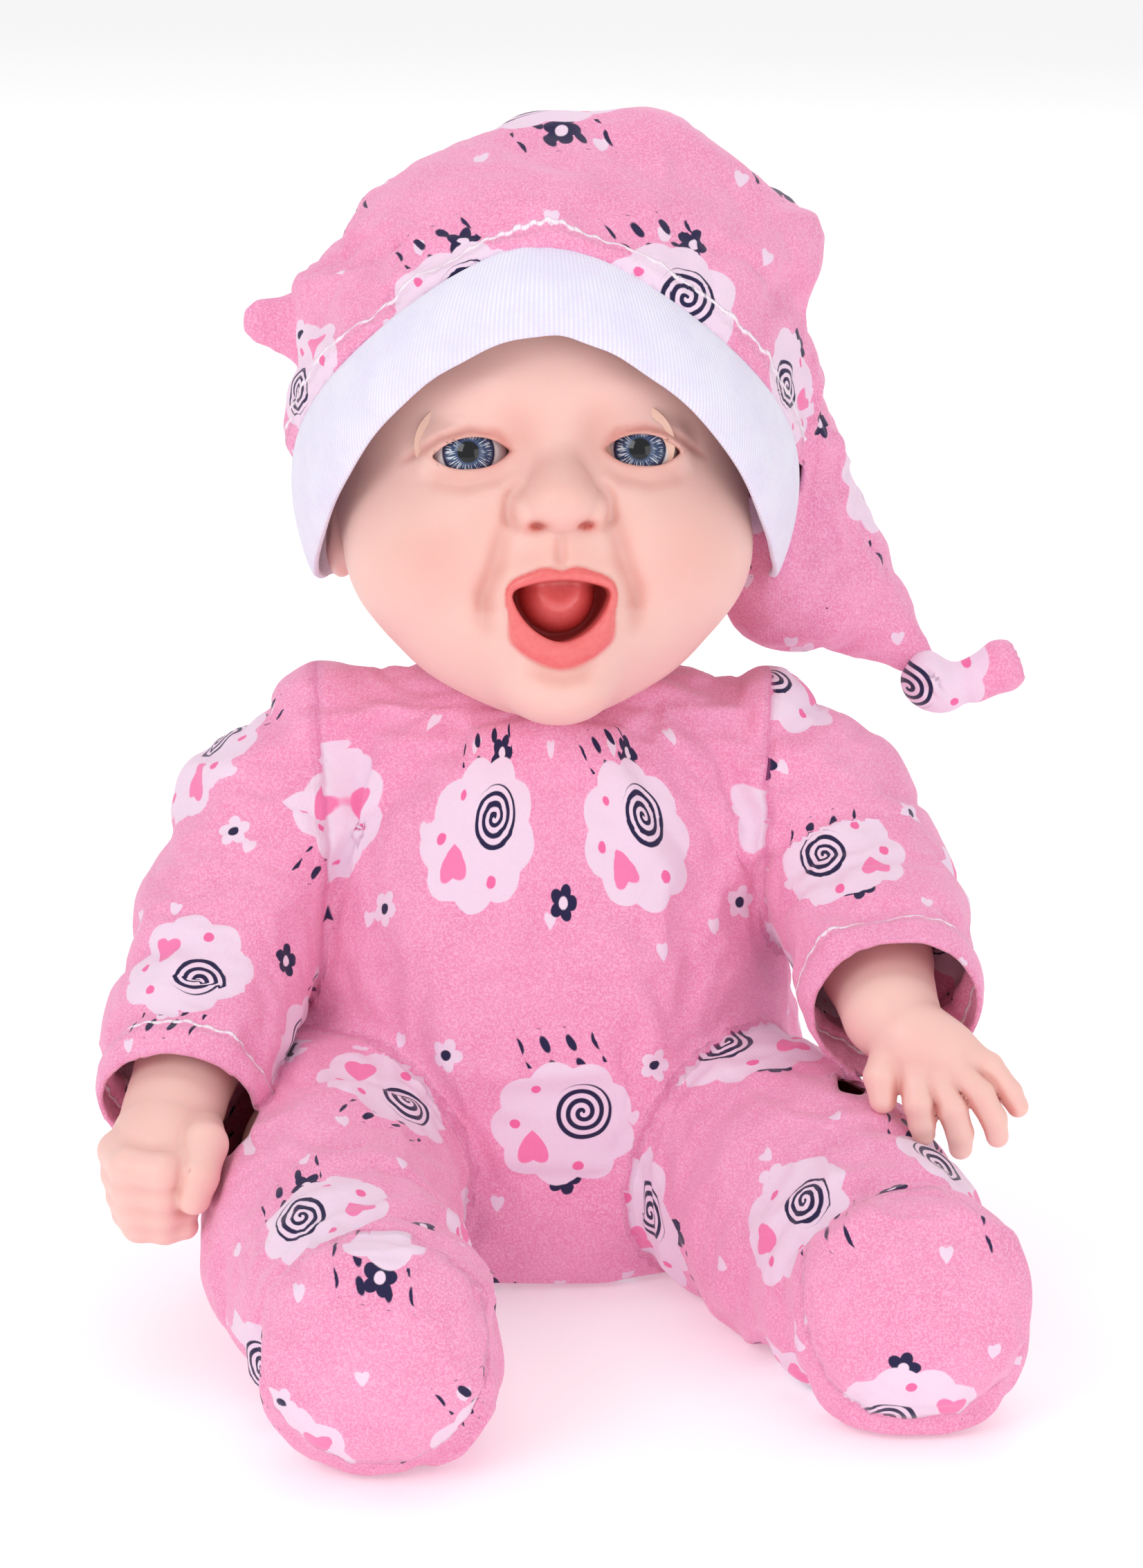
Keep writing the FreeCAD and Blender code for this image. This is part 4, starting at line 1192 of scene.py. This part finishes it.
def trouser_share(p, side):
    """Negative where the suit belongs to this trouser leg, and zero along its seam."""
    leg = leg_form(p, side)
    d = np.maximum(leg - torso_form(p), leg - arm_form(p, side))
    return smax(d, 3 - side * p[..., 0], 1)


# each piece beyond the bodice: where it is, its side, its middle line, and its print's top, radius and shift
SUIT_PIECES = [
    ("sleeve_left", sleeve_share, 1, SLEEVES, arr(0.55, -0.6, 0.55), 19.5, (4, -8)),
    ("sleeve_right", sleeve_share, -1, SLEEVES, arr(-0.55, -0.6, 0.55), 19.5, (-12, 14)),
    ("leg_left", trouser_share, 1, LEGS, arr(0, 0, 1), 24, (18, -20)),
    ("leg_right", trouser_share, -1, LEGS, arr(0, 0, 1), 24, (-10, -6)),
]


def label_suit(v, q):
    """Each face's piece, from 1 in SUIT_PIECES, or 0 for the bodice. Moves the borders onto their seams."""
    label = np.zeros(len(q), dtype=np.int64)
    mid = v[q].mean(1)
    for i, (_, share, side, *_) in enumerate(SUIT_PIECES):
        label[share(mid, side) < 0] = i + 1
    for i, (_, share, side, *_) in enumerate(SUIT_PIECES):
        border = np.intersect1d(np.unique(q[label == i + 1]), np.unique(q[label != i + 1]))
        snap(suit_field, v, border, lambda p: share(p, side))
    return label


def drape_suit(ob, v, neck, cuffs):
    """Lets the suit's cloth settle over the body, held at the neck, the cuffs and a little at the toes."""
    body = make("body_form", *surface(lambda p: suit_field(p) + 3.4, *SUIT_BOX, 3.0, polish=1))
    pins = np.zeros(len(v))
    for ids in (neck, *cuffs):
        pins[ids] = 1
    for side, (pts, _) in LEGS.items():
        pins[(np.sign(v[:, 0]) == side) & (v[:, 1] < pts[-1][1] - 18)] = 0.3
    drape(ob, body, pins, 30, -0.12)
    settled = coords(ob)
    settled[:, 2] = np.maximum(settled[:, 2], 0.5)
    set_coords(ob, settled)


def build_suit(jersey):
    """The sleepsuit: one draped cloth, split along its seams into a bodice, sleeves and trouser legs."""
    v, q, neck, cuffs = open_suit(*surface(suit_field, *SUIT_BOX, 2.2))
    label = label_suit(v, q)
    ob = make("suit", v, q)
    for _ in range(len(SUIT_PIECES) + 1):
        ob.data.materials.append(None)
    ob.data.polygons.foreach_set("material_index", label.astype(np.int32))
    keep_rest(ob, v)
    if SIMULATE:
        drape_suit(ob, v, neck, cuffs)
    finish_cloth(ob, 0.35)
    label = np.empty(len(ob.data.polygons), dtype=np.int32)
    ob.data.polygons.foreach_get("material_index", label)
    pieces = split(ob, label, ["suit_bodice"] + ["suit_" + piece[0] for piece in SUIT_PIECES])
    for i, ob in enumerate(pieces):
        r = rest_of(ob)
        seam = np.full(len(r), NO_HEM)
        for _, share, side, *_ in SUIT_PIECES:
            seam = np.minimum(seam, np.abs(share(r, side)) / 1.4)
        # the flap over the back's opening
        flap = np.maximum(np.abs(r[:, 0]) - 7, 44 - r[:, 2])
        seam = np.where(r[:, 1] > 12, np.minimum(seam, np.abs(flap)), seam)
        hem = hemu = None
        if i == 0:
            phi = np.arctan2(r[:, 0], -r[:, 1])
            set_uv(ob, phi * 44, r[:, 2], 44 * 2 * math.pi, (16.4, -92))
        else:
            _, share, side, limbs, up, radius, shift = SUIT_PIECES[i - 1]
            u, w = path_uv(r, limbs[side][0], up, radius)
            set_uv(ob, u, -w, radius * 2 * math.pi, shift)
            if limbs is SLEEVES:
                at, d = CUFFS[side]
                hem, hemu = -((r - at) @ d), u
            else:
                toe = toe_seam(r, side)
                seam = np.minimum(seam, np.abs(toe))
                flat_uv(ob, r, toe, (1.05, 1.05), (9, -6))
        jersey_on(ob, jersey, hem, hemu, seam)
    bodice, sl, sr, ll, lr = pieces
    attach(bodice, "torso")
    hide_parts("suit_front", "suit_back_left", "suit_back_right", "collar_binding",
                "back_closure_strip")
    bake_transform(sl)
    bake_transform(sr)
    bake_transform(ll)
    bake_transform(lr)
    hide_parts("sleeve_left", "cuff_left")
    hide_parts("sleeve_right", "cuff_right")
    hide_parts("trouser_left", "sole_left")
    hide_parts("trouser_right", "sole_right")


# ---------------------------------------------------------------- the cap
BRIM = np.array([                   # angle from the front, band's lower and upper edge
    (0, 196.8, 212), (0.2, 195.6, 211.3), (0.404, 191, 208.5), (0.642, 182, 202.5), (0.847, 170, 194.6),
    (1.0, 160.5, 188), (1.186, 150, 179.5), (1.4, 142, 169), (1.6, 138.5, 162.5), (2.0, 135, 155),
    (2.5, 133, 150), (3.3, 132, 148)])
CAP_BOX = ((-72, -56, 108), (94, 64, 240))


def brim(phi, which):
    """Height of the band's lower (1) or upper (2) edge at this angle."""
    a = np.abs(phi)
    near = (-0.12, -0.06, 0, 0.06, 0.12)           # averaged over, to round the table's corners
    return sum(np.interp(np.abs(a + o), BRIM[:, 0], BRIM[:, which]) for o in near) / 5


def cap_angle(p):
    return np.arctan2(p[..., 0], 4 - p[..., 1])


def above_band(p):
    """How far above the band's upper edge, along the cloth."""
    phi = cap_angle(p)
    z = brim(phi, 2)
    slope = (brim(np.abs(phi) + 0.05, 2) - z) / (0.05 * 46)
    return (p[..., 2] - z) / np.sqrt(1 + slope ** 2)


def cap_ring(phi, z, grow):
    """Points of the band at these angles and heights, pushed outwards by grow."""
    k = np.sqrt(np.clip(1 - (np.maximum(z, 166) - 166) ** 2 / (57.0 + grow) ** 2, 0.0, 1))
    low = np.clip((164 - z) / 26, 0, 1)
    a = (48.2 + grow) * k - 3.2 * low ** 1.5
    b = (50.2 + grow) * k - 2.0 * low ** 2
    return np.stack([a * np.sin(phi), 4 - b * np.cos(phi), z], -1)


def build_band(rib):
    """The cap's turned-up rib band, with a slightly uneven lower edge."""
    n_phi, n_t = 420, 16
    phi = np.linspace(-math.pi, math.pi, n_phi, endpoint=False)
    low, high = brim(phi, 1) + 0.2 * np.sin(phi * 9 + 1) + 0.15 * np.sin(phi * 23), brim(phi, 2)
    rows = []
    for j in range(n_t + 1):
        t = j / n_t
        puff = 0.5 + 1.5 * math.sin(math.pi * t) ** 0.7 + 0.6 * t
        rows.append(cap_ring(phi, low + t * (high - low), puff))
    v = np.concatenate(rows)
    q = []
    for j in range(n_t):
        a = j * n_phi + np.arange(n_phi)
        b = j * n_phi + (np.arange(n_phi) + 1) % n_phi
        q.append(np.stack([a, b, b + n_phi, a + n_phi], 1))
    q = np.concatenate(q)
    ob = make("cap_band", v, q)
    seg = np.linalg.norm(np.diff(np.concatenate([rows[4], rows[4][:1]]), axis=0), axis=1)
    arc = np.concatenate([[0], np.cumsum(seg)])[:-1]
    attr(ob, "across", np.tile(arc, n_t + 1))
    attr(ob, "upward", np.repeat(np.arange(n_t + 1) / n_t * 16, n_phi))
    modifier(ob, "SOLIDIFY", thickness=1.5 * MM, offset=0.0, use_rim=True)
    modifier(ob, "BEVEL", width=0.5 * MM, segments=2, limit_method="ANGLE", angle_limit=math.radians(60))
    modifier(ob, "SUBSURF", levels=1, render_levels=1)
    bake(ob)
    ob.data.materials.append(rib)
    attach(ob, "hat")
    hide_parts("hat_band")


def rib_material():
    """White rib knit, with wales across and courses up."""
    m, p = material("white_rib", Roughness=0.9, Sheen_Weight=0.3, Sheen_Roughness=0.5, Specular_IOR_Level=0.2,
                    Subsurface_Weight=0.1, Subsurface_Scale=0.0015)
    up = read("upward")
    rib = ((read("across") / 0.95).fract() - 0.5).abs() * 2
    course = ((up / 0.7).fract() - 0.5).abs() * 2
    tone = mix(rib.soft(0.5, 0.9), lin(226, 222, 242), lin(240, 238, 250))
    tone = mix(noise(140, 3).soft(0.5, 0.4) * 0.5, tone, lin(222, 216, 240))
    plug(p, "Base Color", tone)
    n = bump(rib * 0.7 + course * 0.3 + noise(3000, 2) * 0.5, 0.45, 0.0003)
    plug(p, "Normal", n)
    return m


TAIL = [(34, 12, 194), (43.5, 18, 160), (53.5, 21, 137.5), (66, 21, 127.5), (76.5, 20.5, 117.5)]
TAIL_R = [17, 17, 17, 9, 4]
TAIL_FLAT = 1.45                    # its width over its depth


def tail_form(p):
    """The flattened tail, from the crown's side down to the knot."""
    flat = arr(1, TAIL_FLAT, 1)
    return chain(p * flat, [(x, y * TAIL_FLAT, z) for x, y, z in TAIL], TAIL_R, 4) / 1.2


def crown_form(p):
    """The crown: a dome, a slouching top with a ridge across it, and a pinched corner on the doll's right."""
    dome = ell(p, (0, 4, 168), (50, 53, 50))
    below = np.sqrt((p[..., 0] / 50.0) ** 2 + ((p[..., 1] - 4) / 52.5) ** 2)
    dome = np.where(p[..., 2] < 168, (below - 1) * 49, dome)
    d = smin(dome, ell(p, (5, 7, 200), (44, 37, 28.5), ry=7), 9)
    d = smin(d, cap(p, (-41, 9, 195), (2, 9, 220), 9, 11.5), 8)
    d = smin(d, cap(p, (2, 9, 220), (20, 9, 220.5), 11.0, 12.0), 6)
    d = smin(d, cap(p, (20, 9, 219.5), (43.5, 11, 205), 12, 11.5), 6)
    d = smin(d, cap(p * arr(1, 1.7, 1), (-44, 20, 188), (-56, 21, 189.5), 9.0, 5.0), 3.5)
    return d


def crown_cut(p):
    """The crown alone, ended a little below the band's upper edge."""
    return smax(crown_form(p), -(above_band(p) + 6), 1)


def cap_field(p):
    """The crown and the tail, with the folds between them."""
    d = smin(crown_cut(p), tail_form(p), 4.5)
    # the folds run from the tail's root and the pinched corner
    for a, b, r, k in (((47, -8, 207), (52, 2, 178), 0.8, 3), ((30, -22, 216), (50, -6, 196), 0.7, 3.5),
                       ((-52, 4, 200), (-28, -14, 210), 0.7, 3.0), ((-54, 8, 190), (-46, -6, 176), 0.6, 2.6),
                       ((10, -10, 231), (40, -6, 220), 0.6, 3.0), ((56, 8, 176), (66, 12, 136), 0.8, 3.0),
                       ((47, 10, 160), (56, 12, 134), 0.7, 3.0), ((72, 12, 150), (79, 16, 124), 0.5, 2.5)):
        d = smax(d, -cap(p, a, b, r, r * 0.5), k)
    return d


def build_cap(jersey):
    """The cap's crown and tail as one draped cloth, open at the band."""
    v, q = surface(cap_field, *CAP_BOX, 2.0)
    keep = (above_band(v) > -0.6) | ((tail_form(v) - crown_cut(v) < 3.5) & (v[:, 0] > 36) & (v[:, 1] > 5))
    v, q, _ = compact(v, q[keep[q].all(1)])
    edge = border_verts(q, len(v))
    rim = edge[np.abs(above_band(v[edge]) + 0.8) < 3.5]
    snap(cap_field, v, rim, lambda p: above_band(p) + 0.9)
    ob = make("cap_crown", v, q)
    keep_rest(ob, v)
    pins = np.zeros(len(v))
    pins[edge] = 1
    pins[(v[:, 0] > 70) & (v[:, 2] < 125)] = 1         # where the tail meets the knot
    pins[v[:, 0] < -51] = 1                            # the pinched corner
    if SIMULATE:
        body = make("cap_form", *surface(lambda p: cap_field(p) + 3.2, *CAP_BOX, 3.0, polish=1))
        drape(ob, body, pins, 24, -0.10)
    finish_cloth(ob, 0.3)
    r = rest_of(ob)
    d = r - arr(0, 6, 166)                     # the print spreads from the front of the top
    d /= np.linalg.norm(d, axis=1, keepdims=True)
    up = np.stack([d[:, 0], d[:, 1] * 0.62 + d[:, 2] * 0.785], 1)
    out = -d[:, 1] * 0.785 + d[:, 2] * 0.62
    far = np.arccos(np.clip(out, -1, 1)) * 52 / np.maximum(np.hypot(up[:, 0], up[:, 1]), 1e-6)
    set_uv(ob, up[:, 0] * far, up[:, 1] * far, 0, (17, -4))
    tail = tail_form(r) - crown_cut(r)
    flat_uv(ob, r, tail, (1.05, 1), (-16, -2))
    jersey_on(ob, jersey, np.where(tail < 0, NO_HEM, above_band(r) + 3.0), cap_angle(r) * 46)
    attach(ob, "hat")
    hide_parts("hat_crown", "hat_tail")


def knot_field(p):
    """The knot at the tail's end, with two creases and a flared end beyond it."""
    c = arr(80.0, 19.5, 112.5)
    d = ell(p, c, (7.2, 6.6, 5.6), ry=20)
    d = smin(d, ell(p, c + arr(-1.2, -1, 1.6), (4.6, 7.0, 6.2), ry=-25), 1.2)
    d = smin(d, chain(p, [(82.5, 19.5, 113), (88, 19, 113.6), (93.5, 19, 116.5)], [3.4, 4.2, 5.6], 2), 1.5)
    d = smax(d, -cap(p, (75, 12, 116.5), (83, 12.5, 107.5), 0.6), 1.2)
    d = smax(d, -cap(p, (76.5, 13, 118), (85, 13, 110.5), 0.5), 1.2)
    d = smax(d, -ell(p, (97.5, 19, 118.5), (3.4, 3.0, 4.6), ry=30), 1.0)
    return d


def build_knot(jersey):
    knot = make("cap_knot", *surface(knot_field, (72, 8, 102), (106, 32, 126), 0.8))
    r = coords(knot)
    set_uv(knot, r[:, 0], r[:, 2], 0, (4, -12))
    jersey_on(knot, jersey)
    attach(knot, "hat")
    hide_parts("hat_knot")


def simple_material(name, low, high, scale, rough, metallic=0.0, grain=0.15):
    """A moulded, plated or woven surface with a fine mottle and grain."""
    m, p = material(name, Roughness=rough, Metallic=metallic)
    plug(p, "Base Color", mix(noise(scale, 3), lin(*low), lin(*high)))
    plug(p, "Roughness", rough + (noise(scale * 4, 2) - 0.5) * 0.12)
    plug(p, "Normal", bump(noise(scale * 9, 2), grain, 0.0002))
    return m


def dress_cad():
    """Gives every CAD solid that stays its own material."""
    looks = {
        "vinyl_skin": simple_material("vinyl_plain", (233, 186, 172), (241, 200, 186), 60, 0.45),
        "body_plastic": simple_material("moulded_plastic", (226, 184, 166), (232, 192, 174), 120, 0.5),
        "button_plastic": simple_material("button_plastic", (236, 112, 140), (242, 128, 152), 120, 0.3),
        "black_plastic": simple_material("black_plastic", (28, 28, 30), (38, 38, 41), 200, 0.5),
        "steel": simple_material("plated_steel", (186, 186, 190), (206, 206, 210), 300, 0.3, 1.0),
        "cell_wrap": simple_material("cell_wrap", (26, 44, 90), (34, 54, 104), 200, 0.25),
        "board": simple_material("board", (18, 92, 48), (24, 106, 58), 400, 0.35),
        "speaker_paper": simple_material("speaker_paper", (30, 30, 30), (48, 46, 46), 900, 0.9, 0, 0.5),
        "wire_cover": simple_material("wire_cover", (168, 26, 30), (184, 36, 38), 300, 0.45),
        "eye": simple_material("eye_plain", (226, 230, 236), (238, 240, 244), 200, 0.15),
        "white_rib": simple_material("rib_plain", (222, 216, 238), (240, 236, 248), 1500, 0.9, 0, 0.5),
        "print_jersey": simple_material("jersey_plain", (232, 138, 180), (240, 160, 196), 1500, 0.9, 0, 0.5),
        "closure_tape": simple_material("closure_tape", (214, 206, 222), (236, 230, 242), 2200, 0.95, 0, 0.8),
    }
    slots = {part["node"]: part["material_slot"] for part in frame["record"].get("subparts", [])}
    for name, ob in frame["nodes"].items():
        mat = looks[slots[name]]
        if not ob.material_slots:
            ob.data.materials.append(None)
        for slot in ob.material_slots:
            slot.link = "OBJECT"
            slot.material = mat


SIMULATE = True

studio()
vinyl = vinyl_material()
jersey = jersey_material()
rib = rib_material()
build_head(vinyl)
build_eyes()
build_arm("left", hand_open_field, ((40, -80, 26), (108, 20, 114)), vinyl)
build_arm("right", hand_fist_field, ((-102, -90, 14), (-40, 20, 114)), vinyl)
build_leg("left", ((10, -126, -2), (96, 26, 56)), vinyl)
build_leg("right", ((-76, -146, -2), (-10, 26, 56)), vinyl)
build_suit(jersey)
build_band(rib)
build_cap(jersey)
build_knot(jersey)
dress_cad()
